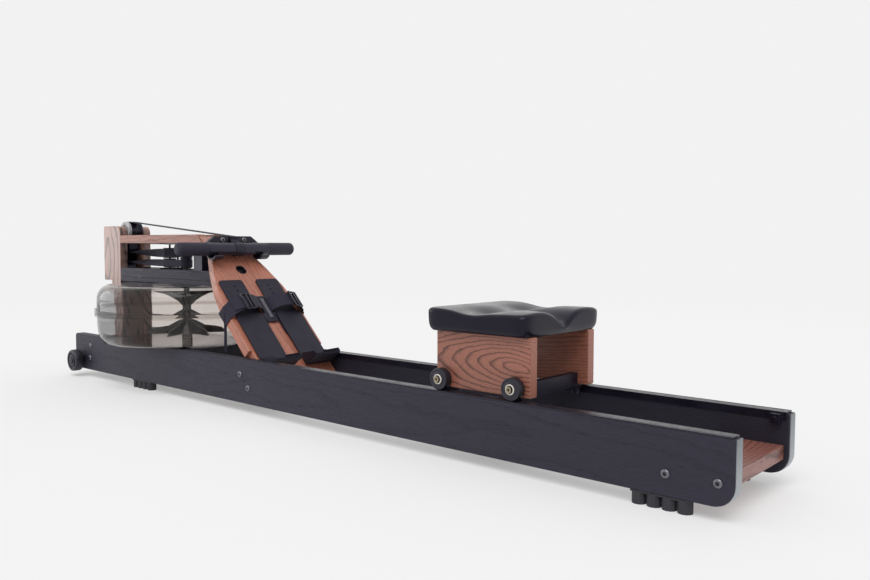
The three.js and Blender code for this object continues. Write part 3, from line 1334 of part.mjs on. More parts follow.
function makeCushion() {
  const outline = cushionOutline();
  const fullDrop = cushionHeight + cushionSkirt;
  const shoulderDraw = cushionEdge * (1 - Math.SQRT1_2);
  const rings = [
    { share: 1 - cushionSideDraw / cushionLength, drop: fullDrop },
    { share: 1, drop: fullDrop - cushionEdge },
    { share: 1, drop: cushionEdge },
    { share: 1 - 2 * shoulderDraw / cushionLength, drop: shoulderDraw },
    { share: 1 - 2 * cushionEdge / cushionLength, drop: 0 },
  ];
  for (let i = 1; i < cushionRings; i += 1) {
    rings.push({ share: (1 - 2 * cushionEdge / cushionLength) * (1 - i / cushionRings), drop: 0 });
  }
  const positions = [];
  rings.forEach(({ share, drop }) => {
    for (const [x, y] of outline) {
      const top = cushionTop - cushionDip(x * share, y * share);
      const z = Math.max(top - drop, cushionFloor);
      positions.push(x * share, y * share, drop === fullDrop ? cushionFloor : z);
    }
  });
  positions.push(0, 0, cushionTop - cushionDip(0, 0), 0, 0, cushionFloor);
  const count = outline.length;
  const crownPoint = rings.length * count;
  const index = [];
  for (let r = 0; r < rings.length - 1; r += 1) {
    for (let k = 0; k < count; k += 1) {
      const a = r * count + k;
      const b = r * count + (k + 1) % count;
      index.push(a, b, a + count, b, b + count, a + count);
    }
  }
  for (let k = 0; k < count; k += 1) {
    const next = (k + 1) % count;
    const base = (rings.length - 1) * count;
    index.push(base + k, base + next, crownPoint, next, k, crownPoint + 1);
  }
  const geometry = new THREE.BufferGeometry();
  geometry.setAttribute('position', new THREE.Float32BufferAttribute(positions, 3));
  geometry.setIndex(index);
  return weld(geometry);
}

// The underside is hollow over the pan and the ends of the boards
const pocketShape = roundedRect(-seatHalf - cushionShift - fitGap, seatHalf - cushionShift + fitGap,
  -seatBoardOuter - fitGap, seatBoardOuter + fitGap, [boardBevel, boardBevel, boardBevel, boardBevel]);
const cushionPocket = extruded('z', pocketShape, cushionFloor - cutOverrun, cushionSeat);
const cushion = cut(makeCushion(), cushionPocket);
addPart('seat_cushion', 'cushion', cushion, seat).position.set(cushionShift, 0, 0);

export default machine;
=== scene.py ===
import math

import bmesh
import bpy
from bpy.props import FloatProperty, FloatVectorProperty, IntProperty, PointerProperty
from mathutils import Matrix, Vector


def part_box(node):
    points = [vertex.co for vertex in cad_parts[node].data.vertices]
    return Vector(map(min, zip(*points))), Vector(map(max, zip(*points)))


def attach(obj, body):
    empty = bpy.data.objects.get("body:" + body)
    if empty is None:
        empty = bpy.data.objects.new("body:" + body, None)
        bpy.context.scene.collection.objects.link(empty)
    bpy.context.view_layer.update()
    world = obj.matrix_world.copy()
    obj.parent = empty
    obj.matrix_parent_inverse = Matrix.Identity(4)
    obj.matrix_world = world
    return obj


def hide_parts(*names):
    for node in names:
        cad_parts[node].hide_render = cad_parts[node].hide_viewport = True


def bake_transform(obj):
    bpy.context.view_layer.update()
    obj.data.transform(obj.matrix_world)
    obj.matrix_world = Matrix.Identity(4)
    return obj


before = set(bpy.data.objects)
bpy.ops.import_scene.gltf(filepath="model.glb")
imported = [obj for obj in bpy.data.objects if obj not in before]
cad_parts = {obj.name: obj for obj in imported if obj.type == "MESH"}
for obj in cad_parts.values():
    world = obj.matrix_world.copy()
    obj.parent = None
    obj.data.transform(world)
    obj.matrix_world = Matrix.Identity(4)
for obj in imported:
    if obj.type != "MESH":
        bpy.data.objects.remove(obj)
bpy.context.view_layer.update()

bl_info = {
    "name": "Water rowing machine",
    "version": (1, 0, 0),
    "blender": (4, 5, 0),
    "location": "3D View > Sidebar > Rower",
    "description": "Dresses the frame of a water rowing machine with finishes and small parts",
    "category": "Object",
}

MM = 0.001
QUARTER = math.pi / 2
BLACK, WHITE = (0, 0, 0, 1), (1, 1, 1, 1)
SIDES = (("left", -1), ("right", 1))


def spot(x, y, z):
    """A point of the part's frame, from millimetres."""
    return Vector((x, y, z)) * MM


def at(x, y, z):
    """A move to a point of the part's frame, from millimetres."""
    return Matrix.Translation(spot(x, y, z))


def to_side(side):
    """A turn of the Z axis to the Y axis, outward on the left (-1) or the right (1)."""
    return Matrix.Rotation(-side * QUARTER, 4, "X")


def middle(node):
    """A node's centre and half sizes, in millimetres."""
    low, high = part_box(node)
    return [(a + b) / 2 / MM for a, b in zip(low, high)], [(b - a) / 2 / MM for a, b in zip(low, high)]


def arc(centre, radii, start, end, count=14):
    """Points of an ellipse about a centre, from one angle to another in degrees."""
    angles = [math.radians(start + (end - start) * k / count) for k in range(count + 1)]
    return [(centre[0] + radii[0] * math.cos(a), centre[1] + radii[1] * math.sin(a)) for a in angles]


def headings(points):
    """The direction of a line at each of its points."""
    return [(after - before).normalized()
            for before, after in zip(points[:1] + points, points[1:] + points[-1:])]


def unit(value):
    return max(0.0, min(1.0, value))


# Sizes that the small parts share with the frame, in millimetres
RAIL_LOW, RAIL_HIGH = ([v / MM for v in corner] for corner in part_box("rail_right"))
RAIL_INNER, RAIL_BOTTOM = RAIL_LOW[1:]
RAIL_END, RAIL_OUTER, RAIL_TOP = RAIL_HIGH
RAIL_TAIL_ROUND = 35.0
RAIL_BOLTS = ((937, 58), (1019.5, 59), (-168, 93), (-136, 62), (-945, 98), (-950, 60))
BEAM_BOLT = (-787.4, 312.0)
HOOK_BOLT = (10.9, 34, 421.5)
BOARD_BOLT = -298
TANK_X = middle("tank_lower_shell")[0][0]
SEAT_WHEEL = 21
BOARD_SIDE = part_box("footboard")[1][1] / MM
FOOTBOARD_FOOT = Vector((-133.0, 0, RAIL_TOP))
SLOPE = Matrix.Rotation(math.pi / 4, 4, "Y")
# From the footboard's own plane, in metres, to the part's frame
BOARD_PLANE = Matrix.Translation(FOOTBOARD_FOOT * MM) @ SLOPE


# ---- Settings that a user would change ----

class RowerFinish(bpy.types.PropertyGroup):
    """Colours of the stock that the machine is made of."""
    board_light: FloatVectorProperty(
        name="Board light", description="Pale bands of the stained boards", subtype="COLOR",
        default=(0.345, 0.128, 0.083), size=3, min=0, max=1)
    board_dark: FloatVectorProperty(
        name="Board dark", description="Dark rings of the stained boards", subtype="COLOR",
        default=(0.070, 0.020, 0.013), size=3, min=0, max=1)
    post_light: FloatVectorProperty(
        name="Post light", description="Pale bands of the kingpost", subtype="COLOR",
        default=(0.400, 0.220, 0.180), size=3, min=0, max=1)
    post_dark: FloatVectorProperty(
        name="Post dark", description="Dark flames of the kingpost", subtype="COLOR",
        default=(0.050, 0.018, 0.014), size=3, min=0, max=1)
    rail_light: FloatVectorProperty(
        name="Rail light", description="Raised grain of the black boards", subtype="COLOR",
        default=(0.0150, 0.0140, 0.0245), size=3, min=0, max=1)
    rail_dark: FloatVectorProperty(
        name="Rail dark", description="Pores of the black boards", subtype="COLOR",
        default=(0.0030, 0.0028, 0.0062), size=3, min=0, max=1)
    plastic: FloatVectorProperty(
        name="Black plastic", description="Moulded black parts", subtype="COLOR",
        default=(0.0040, 0.0034, 0.0085), size=3, min=0, max=1)
    rubber: FloatVectorProperty(
        name="Rubber", description="Wheels and feet", subtype="COLOR",
        default=(0.0110, 0.0105, 0.0135), size=3, min=0, max=1)
    smoke: FloatVectorProperty(
        name="Smoked shell", description="Tint of the tank", subtype="COLOR",
        default=(1.0, 0.950, 0.920), size=3, min=0, max=1)
    webbing: FloatVectorProperty(
        name="Webbing", description="Straps and belts", subtype="COLOR",
        default=(0.0042, 0.0038, 0.0085), size=3, min=0, max=1)


class RowerStudio(bpy.types.PropertyGroup):
    """Floor, light and camera."""
    backdrop: FloatVectorProperty(
        name="Backdrop", description="Colour of floor and background", subtype="COLOR",
        default=(0.888, 0.888, 0.888), size=3, min=0, max=1)
    sky_strength: FloatProperty(
        name="Sky strength", description="Level of the even light from all round",
        default=0.62, min=0, max=5)
    sun_strength: FloatProperty(
        name="Key light", description="Level of the wide soft lamp high on the near side",
        default=1.58, min=0)
    sheen_power: FloatProperty(
        name="Sheen light", description="Power of the lamp that the polish at the tank's end reflects",
        unit="POWER", default=18, min=0)
    lens: FloatProperty(
        name="Lens", description="Focal length on a 36 mm sensor", unit="CAMERA",
        default=33.17, min=1)


class RowerSizes(bpy.types.PropertyGroup):
    """Sizes of the small parts."""
    bolt_head: FloatProperty(
        name="Bolt head", description="Diameter of a socket bolt's head", unit="LENGTH",
        default=0.0150, min=0.001)
    bolt_height: FloatProperty(
        name="Bolt height", description="How far a bolt's head stands proud", unit="LENGTH",
        default=0.0030, min=0.0005)
    spin_steps: IntProperty(
        name="Round steps", description="Facets round a turned part", default=72, min=12)
    edge_strip: FloatProperty(
        name="Edge strip", description="Thickness of the pale strip on a rail's end", unit="LENGTH",
        default=0.0015, min=0.0002)


def settings():
    scene = bpy.context.scene
    return scene.rower_finish, scene.rower_studio, scene.rower_sizes


# ---- Shader building ----

def connect(tree, node, inputs):
    """Links the sockets among some values to a node's inputs, and sets the others."""
    for key, value in inputs.items():
        if isinstance(value, bpy.types.NodeSocket):
            tree.links.new(value, node.inputs[key])
        else:
            node.inputs[key].default_value = value


def add(tree, kind, inputs=None, **values):
    """A shader node with its settings and its inputs."""
    made = tree.nodes.new("ShaderNode" + kind)
    for key, value in values.items():
        setattr(made, key, value)
    connect(tree, made, inputs or {})
    return made


def colour(value, level=1.0):
    return (*(c * level for c in value), 1.0)


def math_node(tree, operation, *values, clamp=False):
    return add(tree, "Math", dict(enumerate(values)), operation=operation, use_clamp=clamp).outputs[0]


def times(tree, a, b, clamp=False):
    return math_node(tree, "MULTIPLY", a, b, clamp=clamp)


def plus(tree, a, b, clamp=False):
    return math_node(tree, "ADD", a, b, clamp=clamp)


def size_of(tree, value):
    return math_node(tree, "ABSOLUTE", value)


def vector_node(tree, operation, a, b):
    return add(tree, "VectorMath", {0: a, 1: b}, operation=operation).outputs[0]


def axis(tree, vector, name):
    return add(tree, "SeparateXYZ", {0: vector}).outputs[name]


def scaled(tree, vector, scale):
    return add(tree, "Mapping", {"Vector": vector, "Scale": scale}).outputs[0]


def object_place(tree):
    return add(tree, "TexCoord").outputs["Object"]


def noise(tree, vector, scale, detail, roughness=0.5):
    inputs = {"Vector": vector, "Scale": scale, "Detail": detail, "Roughness": roughness}
    return add(tree, "TexNoise", inputs).outputs["Fac"]


def mix_colour(tree, factor, a, b):
    return add(tree, "Mix", {"Factor": factor, 6: a, 7: b}, data_type="RGBA").outputs[2]


def map_range(tree, value, low, high, to_low=0.0, to_high=1.0, smooth=False):
    inputs = {"Value": value, "From Min": low, "From Max": high, "To Min": to_low, "To Max": to_high}
    kind = "SMOOTHSTEP" if smooth else "LINEAR"
    return add(tree, "MapRange", inputs, interpolation_type=kind).outputs["Result"]


def bump_node(tree, height, strength, distance, **normal):
    inputs = {"Strength": strength, "Distance": distance, "Height": height}
    return add(tree, "Bump", {**inputs, **normal}).outputs[0]


def new_group(name, inputs, outputs):
    """An empty group. An input is given by its kind of socket, or by a number that it starts from."""
    group = bpy.data.node_groups.new(name, "ShaderNodeTree")
    for label, kind in inputs.items():
        start = None if isinstance(kind, str) else kind
        socket = group.interface.new_socket(name=label, in_out="INPUT",
                                            socket_type="NodeSocket" + ("Float" if start else kind))
        if start:
            socket.default_value = start
    for label, kind in outputs.items():
        group.interface.new_socket(name=label, in_out="OUTPUT", socket_type="NodeSocket" + kind)
    return group, group.nodes.new("NodeGroupInput").outputs, group.nodes.new("NodeGroupOutput")


def group_board_grain():
    """Flat-sawn ash: long wavy rings, fine streaks and open pores along X."""
    g, i, o = new_group(
        "board_grain", {"Vector": "Vector", "Light": "Color", "Dark": "Color", "Ring Scale": 1.0, "Figure": 1.0},
        {"Color": "Color", "Roughness": "Float", "Height": "Float"})
    drift = scaled(g, i["Vector"], (1.4, 9.0, 9.0))
    bend = add(g, "TexNoise", {"Vector": drift, "Scale": 1.0, "Detail": 2.0}).outputs["Color"]
    bend = vector_node(g, "SUBTRACT", bend, (0.5, 0.5, 0.5))
    bend = vector_node(g, "MULTIPLY", bend, (0.0, 0.075, 0.075))
    bent = scaled(g, vector_node(g, "ADD", i["Vector"], bend), (0.35, 1.0, 1.0))
    rings = add(g, "TexWave", {
        "Vector": bent, "Scale": times(g, i["Ring Scale"], 46.0), "Distortion": 3.4, "Detail": 3.5,
        "Detail Scale": 0.9, "Detail Roughness": 0.66}, wave_type="RINGS", rings_direction="X", wave_profile="SAW")
    ring = map_range(g, rings.outputs["Fac"], 0.58, 0.98, smooth=True)
    fine = scaled(g, i["Vector"], (14.0, 620.0, 620.0))
    streaks = map_range(g, noise(g, fine, 1.0, 3.0, 0.7), 0.36, 0.66)
    pitted = scaled(g, i["Vector"], (42.0, 1150.0, 1150.0))
    pores = map_range(g, noise(g, pitted, 1.0, 2.0), 0.56, 0.66)
    porous = times(g, pores, math_node(g, "MULTIPLY_ADD", ring, 0.6, 0.5), clamp=True)
    cloud = map_range(g, noise(g, drift, 0.9, 3.0), 0.3, 0.7, -0.15, 0.15)
    shade = times(g, times(g, ring, i["Figure"]), 0.85)
    shade = plus(g, plus(g, shade, times(g, streaks, 0.22)), cloud, clamp=True)
    tone = mix_colour(g, shade, i["Light"], i["Dark"])
    deep = mix_colour(g, 0.62, i["Dark"], BLACK)
    connect(g, o, {
        "Color": mix_colour(g, times(g, porous, 0.8), tone, deep),
        "Roughness": plus(g, times(g, streaks, 0.09), times(g, porous, 0.22)),
        "Height": math_node(g, "SUBTRACT", times(g, streaks, 0.35), porous)})


def group_edge_wear():
    """Softened edges: a rounded normal, and a mask where the stock's edge is rubbed."""
    g, i, o = new_group("edge_wear", {"Radius": 0.001, "Amount": 1.0}, {"Mask": "Float", "Normal": "Vector"})
    bevel = add(g, "Bevel", {"Radius": i["Radius"]}, samples=4).outputs[0]
    plain = add(g, "NewGeometry").outputs["Normal"]
    dot = add(g, "VectorMath", {0: bevel, 1: plain}, operation="DOT_PRODUCT").outputs["Value"]
    patch = map_range(g, noise(g, object_place(g), 60.0, 3.0), 0.42, 0.62)
    rubbed = times(g, map_range(g, dot, 0.995, 0.90), patch)
    connect(g, o, {"Mask": times(g, rubbed, i["Amount"], clamp=True), "Normal": bevel})


def group_dust_and_highlight():
    """A thin uneven veil on faces that look up: dust, and where it is heavy, as on the tracks, partly a painted
    highlight.
    """
    g, i, o = new_group("dust_and_highlight_veil", {"Amount": 0.3}, {"Mask": "Float"})
    up = map_range(g, axis(g, add(g, "NewGeometry").outputs["Normal"], "Z"), 0.35, 0.95)
    veil = map_range(g, noise(g, object_place(g), 140.0, 5.0), 0.42, 0.78)
    connect(g, o, {"Mask": times(g, times(g, up, veil), i["Amount"])})


def group_moulding():
    """Fine texture of a moulded or turned surface."""
    g, i, o = new_group("moulded_surface", {"Scale": 900.0}, {"Height": "Float", "Smudge": "Float"})
    where = object_place(g)
    grain = add(g, "TexVoronoi", {"Vector": where, "Scale": i["Scale"]})
    smudge = map_range(g, noise(g, where, 22.0, 4.0), 0.35, 0.7, -1.0, 1.0)
    connect(g, o, {"Height": grain.outputs["Distance"], "Smudge": smudge})


def group_weave():
    """Webbing: ribs across the band, with a herringbone of yarns, from the band's own run and width."""
    g, i, o = new_group("web_weave", {"Pitch": 0.0016}, {"Height": "Float", "Shade": "Float"})
    run, wide = (add(g, "Attribute", attribute_name=key, attribute_type="GEOMETRY").outputs["Fac"]
                 for key in ("run", "wide"))
    u, v = (times(g, math_node(g, "DIVIDE", length, i["Pitch"]), math.tau) for length in (run, wide))
    rib = math_node(g, "SINE", plus(g, u, times(g, math_node(g, "SINE", v), 0.9)))
    yarn = math_node(g, "SINE", times(g, v, 0.5))
    height = plus(g, times(g, rib, 0.5), times(g, yarn, 0.5))
    connect(g, o, {"Height": height, "Shade": map_range(g, height, -1.0, 1.0)})


def use(tree, group, inputs):
    """The outputs of one of the shared groups."""
    return add(tree, "Group", inputs, node_tree=bpy.data.node_groups[group]).outputs


def new_material(name, viewport):
    mat = bpy.data.materials.new(name)
    mat.use_nodes = True
    mat.diffuse_color = colour(viewport)
    tree = mat.node_tree
    tree.nodes.clear()
    out, shader = add(tree, "OutputMaterial"), add(tree, "BsdfPrincipled")
    tree.links.new(shader.outputs[0], out.inputs["Surface"])
    return mat, tree, shader


GRAIN_TURNS = {"x": (0, 0, 0), "y": (0, 0, QUARTER), "z": (0, QUARTER, 0), "slope": (0, -math.pi / 4, 0)}


def wood(name, light, dark, grain, centre, ring_scale, lean, figure, roughness=0.34, bump=0.35, coat=0.12,
         wear=0.35, back=1.0):
    """A stained board. grain names the direction of its length, centre a point of the trunk's middle in
    metres, lean how far the trunk's axis leans from the board, in degrees: the more, the rounder the figure.
    back is how much of its tone is kept on the faces that look along X; the rest is painted shade, darkened toward
    black."""
    mat, tree, shader = new_material(name, light)
    where = add(tree, "TexCoord").outputs
    place = vector_node(tree, "SUBTRACT", where["Object"], centre)
    for turn in (GRAIN_TURNS[grain], [math.radians(a) for a in lean]):
        place = add(tree, "Mapping", {"Vector": place, "Rotation": turn}).outputs[0]
    board = use(tree, "board_grain", {"Vector": place, "Light": colour(light), "Dark": colour(dark),
                                      "Ring Scale": ring_scale, "Figure": figure})
    facing = add(tree, "Mapping", {"Vector": where["Normal"], "Rotation": GRAIN_TURNS[grain]},
                 vector_type="VECTOR").outputs[0]
    sawn = map_range(tree, size_of(tree, axis(tree, facing, "X")), 0.75, 0.95, 0.0, 0.45)
    edge = use(tree, "edge_wear", {"Radius": 0.0016, "Amount": wear})
    pale = mix_colour(tree, 0.35, colour(light), (0.6, 0.5, 0.42, 1))
    tone = mix_colour(tree, sawn, board["Color"], colour(light, 1.25))
    tone = mix_colour(tree, edge["Mask"], tone, pale)
    # Painted shade: faces that look along +X are darkened toward black, keeping only back of their tone.
    if back < 1:
        painted_back_shade = map_range(tree, axis(tree, where["Normal"], "X"), 0.5, 0.9, 0.0, 1.0 - back)
        tone = mix_colour(tree, painted_back_shade, tone, BLACK)
    connect(tree, shader, {
        "Base Color": tone, "Roughness": plus(tree, board["Roughness"], roughness),
        "Normal": bump_node(tree, board["Height"], bump, 0.0004, Normal=edge["Normal"]),
        "Coat Weight": coat, "Coat Roughness": 0.22,
        "Specular Tint": (0.86, 0.83, 1.0, 1.0) if light[2] > light[0] else WHITE})
    return mat


def moulded(name, base, roughness, bump=0.2, scale=900.0, metallic=0.0, radius=0.0008, smudge=0.05, dust_and_highlight=0.15):
    """Moulded plastic, rubber, foam or plain metal."""
    mat, tree, shader = new_material(name, base)
    edge = use(tree, "edge_wear", {"Radius": radius, "Amount": 0.5})
    skin = use(tree, "moulded_surface", {"Scale": scale})
    veil = use(tree, "dust_and_highlight_veil", {"Amount": dust_and_highlight})["Mask"]
    bright = colour([min(1.0, c * 2.2 + 0.01) for c in base])
    tone = mix_colour(tree, edge["Mask"], colour(base), bright)
    rough = math_node(tree, "MULTIPLY_ADD", skin["Smudge"], smudge, roughness)
    connect(tree, shader, {
        "Base Color": mix_colour(tree, times(tree, veil, 0.12), tone, (0.4, 0.4, 0.39, 1)),
        "Roughness": plus(tree, rough, times(tree, veil, 0.3)), "Metallic": metallic,
        "Normal": bump_node(tree, skin["Height"], bump, 0.0002, Normal=edge["Normal"]),
        "Specular Tint": (0.84, 0.80, 1.0, 1.0) if max(base) < 0.02 else WHITE})
    return mat


def woven(name, base):
    """Webbing on a band that carries its run and width."""
    mat, tree, shader = new_material(name, base)
    weave = use(tree, "web_weave", {"Pitch": 0.0017})
    connect(tree, shader, {
        "Base Color": mix_colour(tree, weave["Shade"], colour(base), colour(base, 2.2)),
        "Roughness": map_range(tree, weave["Shade"], 0.0, 1.0, 0.85, 0.6),
        "Normal": bump_node(tree, weave["Height"], 0.6, 0.0004),
        "Specular Tint": (0.80, 0.77, 1.0, 1.0), "Sheen Weight": 0.05, "Sheen Roughness": 0.5})
    return mat


def clear_shell(name, tint, depth):
    """Smoked clear plastic: a warm tint at its faces and a grey smoke that deepens with the wall."""
    mat, tree, shader = new_material(name, tint)
    where = add(tree, "TexCoord").outputs
    ripple = noise(tree, where["Object"], 9.0, 2.0)
    haze = noise(tree, where["Object"], 30.0, 4.0)
    slant = add(tree, "LayerWeight", {"Blend": 0.5}).outputs["Facing"]
    upright = map_range(tree, size_of(tree, axis(tree, where["Normal"], "Z")), 0.35, 0.85, 1.0, 0.0)
    deep = times(tree, map_range(tree, slant, 0.09, 0.24), upright)
    edge = times(tree, map_range(tree, slant, 0.26, 0.5), upright)
    tone = mix_colour(tree, deep, colour(tint), (0.82, 0.805, 0.80, 1))
    connect(tree, shader, {
        "Base Color": mix_colour(tree, edge, tone, (0.72, 0.72, 0.73, 1)),
        "Roughness": map_range(tree, haze, 0.3, 0.8, 0.0, 0.015),
        "Normal": bump_node(tree, ripple, 0.03, 0.002), "Transmission Weight": 1.0, "IOR": 1.27})
    smoke = add(tree, "VolumeAbsorption", {"Color": (0.5, 0.5, 0.5, 1), "Density": depth})
    tree.links.new(smoke.outputs[0], tree.nodes["Material Output"].inputs["Volume"])
    return mat


def give(name, mat):
    """Puts a material on a carried-over node."""
    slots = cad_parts[name].data.materials
    slots.clear()
    slots.append(mat)


# ---- Mesh building ----

def put_in_scene(name, data):
    made = bpy.data.objects.new(name, data)
    bpy.context.scene.collection.objects.link(made)
    return made


def finish_piece(name, bm, mat, body, replaced=()):
    """Turns a bmesh into a piece that rides on a body."""
    mesh = bpy.data.meshes.new(name)
    bm.to_mesh(mesh)
    bm.free()
    mesh.shade_smooth()
    mesh.set_sharp_from_angle(angle=math.radians(38))
    mesh.materials.append(mat)
    piece = put_in_scene(name, mesh)
    if body:
        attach(piece, body)
    if replaced:
        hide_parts(*replaced)
    return piece


def spin_profile(bm, profile, place, steps, closed=True):
    """Turns a profile of (radius, height) in millimetres about the Z axis of place."""
    verts = [bm.verts.new((r * MM, 0, h * MM)) for r, h in profile]
    edges = [bm.edges.new((verts[k], verts[k + 1])) for k in range(len(verts) - 1)]
    if closed:
        edges.append(bm.edges.new((verts[-1], verts[0])))
    bmesh.ops.spin(bm, geom=verts + edges, cent=(0, 0, 0), axis=(0, 0, 1), angle=math.tau, steps=steps,
                   use_merge=True)
    linked = set(verts)
    todo = list(verts)
    while todo:
        for edge in todo.pop().link_edges:
            for v in edge.verts:
                if v not in linked:
                    linked.add(v)
                    todo.append(v)
    linked = list(linked)
    bmesh.ops.remove_doubles(bm, verts=linked, dist=1e-6)
    linked = [v for v in linked if v.is_valid]
    bmesh.ops.recalc_face_normals(bm, faces=list({f for v in linked for f in v.link_faces}))
    bmesh.ops.transform(bm, matrix=place, verts=linked)


def turned_piece(name, profile, place, mat, body, replaced=(), steps=None, closed=True):
    bm = bmesh.new()
    spin_profile(bm, profile, place, steps or settings()[2].spin_steps, closed)
    finish_piece(name, bm, mat, body, replaced)


def soften(bm, verts, edges, bevel, segments, place):
    """Rounds edges by a bevel in millimetres, then moves the whole form to its place."""
    made = bmesh.ops.bevel(bm, geom=edges, offset=bevel * MM, offset_type="OFFSET", segments=segments,
                           profile=0.5, affect="EDGES", clamp_overlap=True, material=-1)
    verts = list({v for f in made["faces"] for v in f.verts} | {v for v in verts if v.is_valid})
    bmesh.ops.transform(bm, matrix=place, verts=verts)


def box_in(bm, low, high, bevel, segments, place):
    """A box from its corners in millimetres, with rounded edges."""
    low, high = Vector(low), Vector(high)
    size = (high - low) * MM
    form = Matrix.Translation((low + high) / 2 * MM) @ Matrix.Diagonal((size.x, size.y, size.z, 1))
    verts = bmesh.ops.create_cube(bm, size=1.0, matrix=form)["verts"]
    soften(bm, verts, list({e for v in verts for e in v.link_edges}), bevel, segments, place)


def plate_in(bm, outline, floor, top, bevel, place):
    """A flat plate from its outline in millimetres, with softened edges."""
    verts = [bm.verts.new(spot(x, y, floor)) for x, y in outline]
    edges = [bm.edges.new((verts[k - 1], verts[k])) for k in range(len(verts))]
    face = bmesh.ops.contextual_create(bm, geom=edges)["faces"]
    made = bmesh.ops.extrude_face_region(bm, geom=face)["geom"]
    raised = [g for g in made if isinstance(g, bmesh.types.BMVert)]
    bmesh.ops.translate(bm, verts=raised, vec=(0, 0, (top - floor) * MM))
    verts += raised
    faces = list({f for v in verts for f in v.link_faces})
    bmesh.ops.recalc_face_normals(bm, faces=faces)
    sharp = list({e for f in faces for e in f.edges if e.calc_face_angle(0) > 0.5})
    soften(bm, verts, sharp, bevel, 2, place)


def sweep_in(bm, stations, section):
    """A closed skin over stations of (point, across, up), with a section of (across, up, wide), in metres.
    The run along the line and wide, the place round the section, are kept for the weave."""
    run_layer, wide_layer = (bm.verts.layers.float.get(key) or bm.verts.layers.float.new(key)
                             for key in ("run", "wide"))
    run = 0.0
    before, last_edges = stations[0][0], None
    for point, across, up in stations:
        run += (point - before).length
        before = point
        verts = []
        for aside, lift, wide in section:
            v = bm.verts.new(point + across * aside + up * lift)
            v[run_layer], v[wide_layer] = run, wide
            verts.append(v)
        edges = [bm.edges.new((verts[k], verts[(k + 1) % len(verts)])) for k in range(len(verts))]
        if last_edges:
            bmesh.ops.bridge_loops(bm, edges=last_edges + edges)
        else:
            bm.faces.new(verts)
        last_edges = edges
    bm.faces.new(verts[::-1])
    bmesh.ops.recalc_face_normals(bm, faces=bm.faces[:])


def band_in(bm, stations, width, thickness):
    """A flat band through stations of (point, outward, along), in metres, with rounded edges."""
    lip, side, flat = thickness * 0.22, width * 0.5, width * 0.488
    section = [(-side, lip), (-flat, 0), (flat, 0), (side, lip), (side, thickness - lip), (flat, thickness),
               (-flat, thickness), (-side, thickness - lip)]
    crossed = [(point, along.cross(out).normalized(), out.normalized()) for point, out, along in stations]
    sweep_in(bm, crossed, [(aside, lift, aside) for aside, lift in section])


def band_piece(name, stations, width, thickness, mat, body, replaced=()):
    bm = bmesh.new()
    band_in(bm, stations, width, thickness)
    return finish_piece(name, bm, mat, body, replaced)


# ---- Operators ----

class ROWER_OT_groups(bpy.types.Operator):
    """Build the shared shader groups"""
    bl_idname = "rower.groups"
    bl_label = "Shared surface effects"

    def execute(self, context):
        for build in (group_board_grain, group_edge_wear, group_dust_and_highlight, group_moulding, group_weave):
            build()
        return {"FINISHED"}


class ROWER_OT_boards(bpy.types.Operator):
    """Stain the red-brown and the black boards"""
    bl_idname = "rower.boards"
    bl_label = "Boards"

    def execute(self, context):
        finish = settings()[0]
        seat_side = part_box("seat_board_left")[0][1]
        plain, ruddy, bright = (1, 1, 1), (0.80, 0.83, 1.0), (1.3, 1.3, 1.3)
        for name, grain, centre, scale, lean, figure, tint in (
                ("deck_plank_left", "x", (-0.70, -0.02, 0.40), 0.9, (0, 4, 0), 0.5, plain),
                ("deck_plank_right", "x", (-0.70, 0.06, 0.40), 0.9, (0, 4, 0), 0.5, plain),
                ("hook_block", "y", (-0.41, 0.0, 0.40), 1.0, (0, 8, 0), 0.5, plain),
                ("front_cross_board", "y", (-0.90, 0.0, 0.06), 1.0, (0, 6, 0), 0.7, plain),
                ("seat_board_left", "x", (0.665, seat_side, 0.188), 1.0, (0, 0, 11), 0.9, plain),
                ("seat_board_right", "x", (0.45, 0.08, 0.27), 0.9, (0, 5, 2), 0.6, plain),
                ("tail_cross_board", "y", (0.97, 0.15, 0.06), 0.8, (0, 4, 0), 0.8, ruddy),
                ("footboard", "slope", (-0.33, 0.03, 0.36), 0.6, (0, 5, 0), 0.3, bright)):
            light = [c * f for c, f in zip(finish.board_light, tint)]
            give(name, wood("stained_" + name, light, finish.board_dark, grain, centre, scale, lean, figure))
        # The kingpost's faces that look along +X get painted shade: back=0.6 keeps 0.6 of their tone.
        give("kingpost", wood("stained_kingpost", finish.post_light, finish.post_dark, "z",
                              (-0.985, -0.050, 0.36), 0.34, (0, 0, 15), 1.0, 0.26, coat=0.5, back=0.6))
        # rail_right, the far rail, takes 0.6 of the light tone: painted shade, darkened as a whole for the shade
        # on its inner face between the rails.
        for name, grain, centre, level in (
                ("rail_left", "x", (0, -0.19, 0.06), 1.0), ("rail_right", "x", (0, 0.06, 0.09), 0.6),
                ("tank_top_beam", "x", (-0.6, 0.01, 0.28), 1.0),
                ("footboard_cross_block", "y", (-0.15, 0, 0.05), 1.0)):
            light = [c * level for c in finish.rail_light]
            give(name, wood("black_" + name, light, finish.rail_dark, grain, centre, 0.5, (0, 0, 2), 0.4, 0.50,
                            bump=0.5, coat=0.0, wear=0.10))
        return {"FINISHED"}


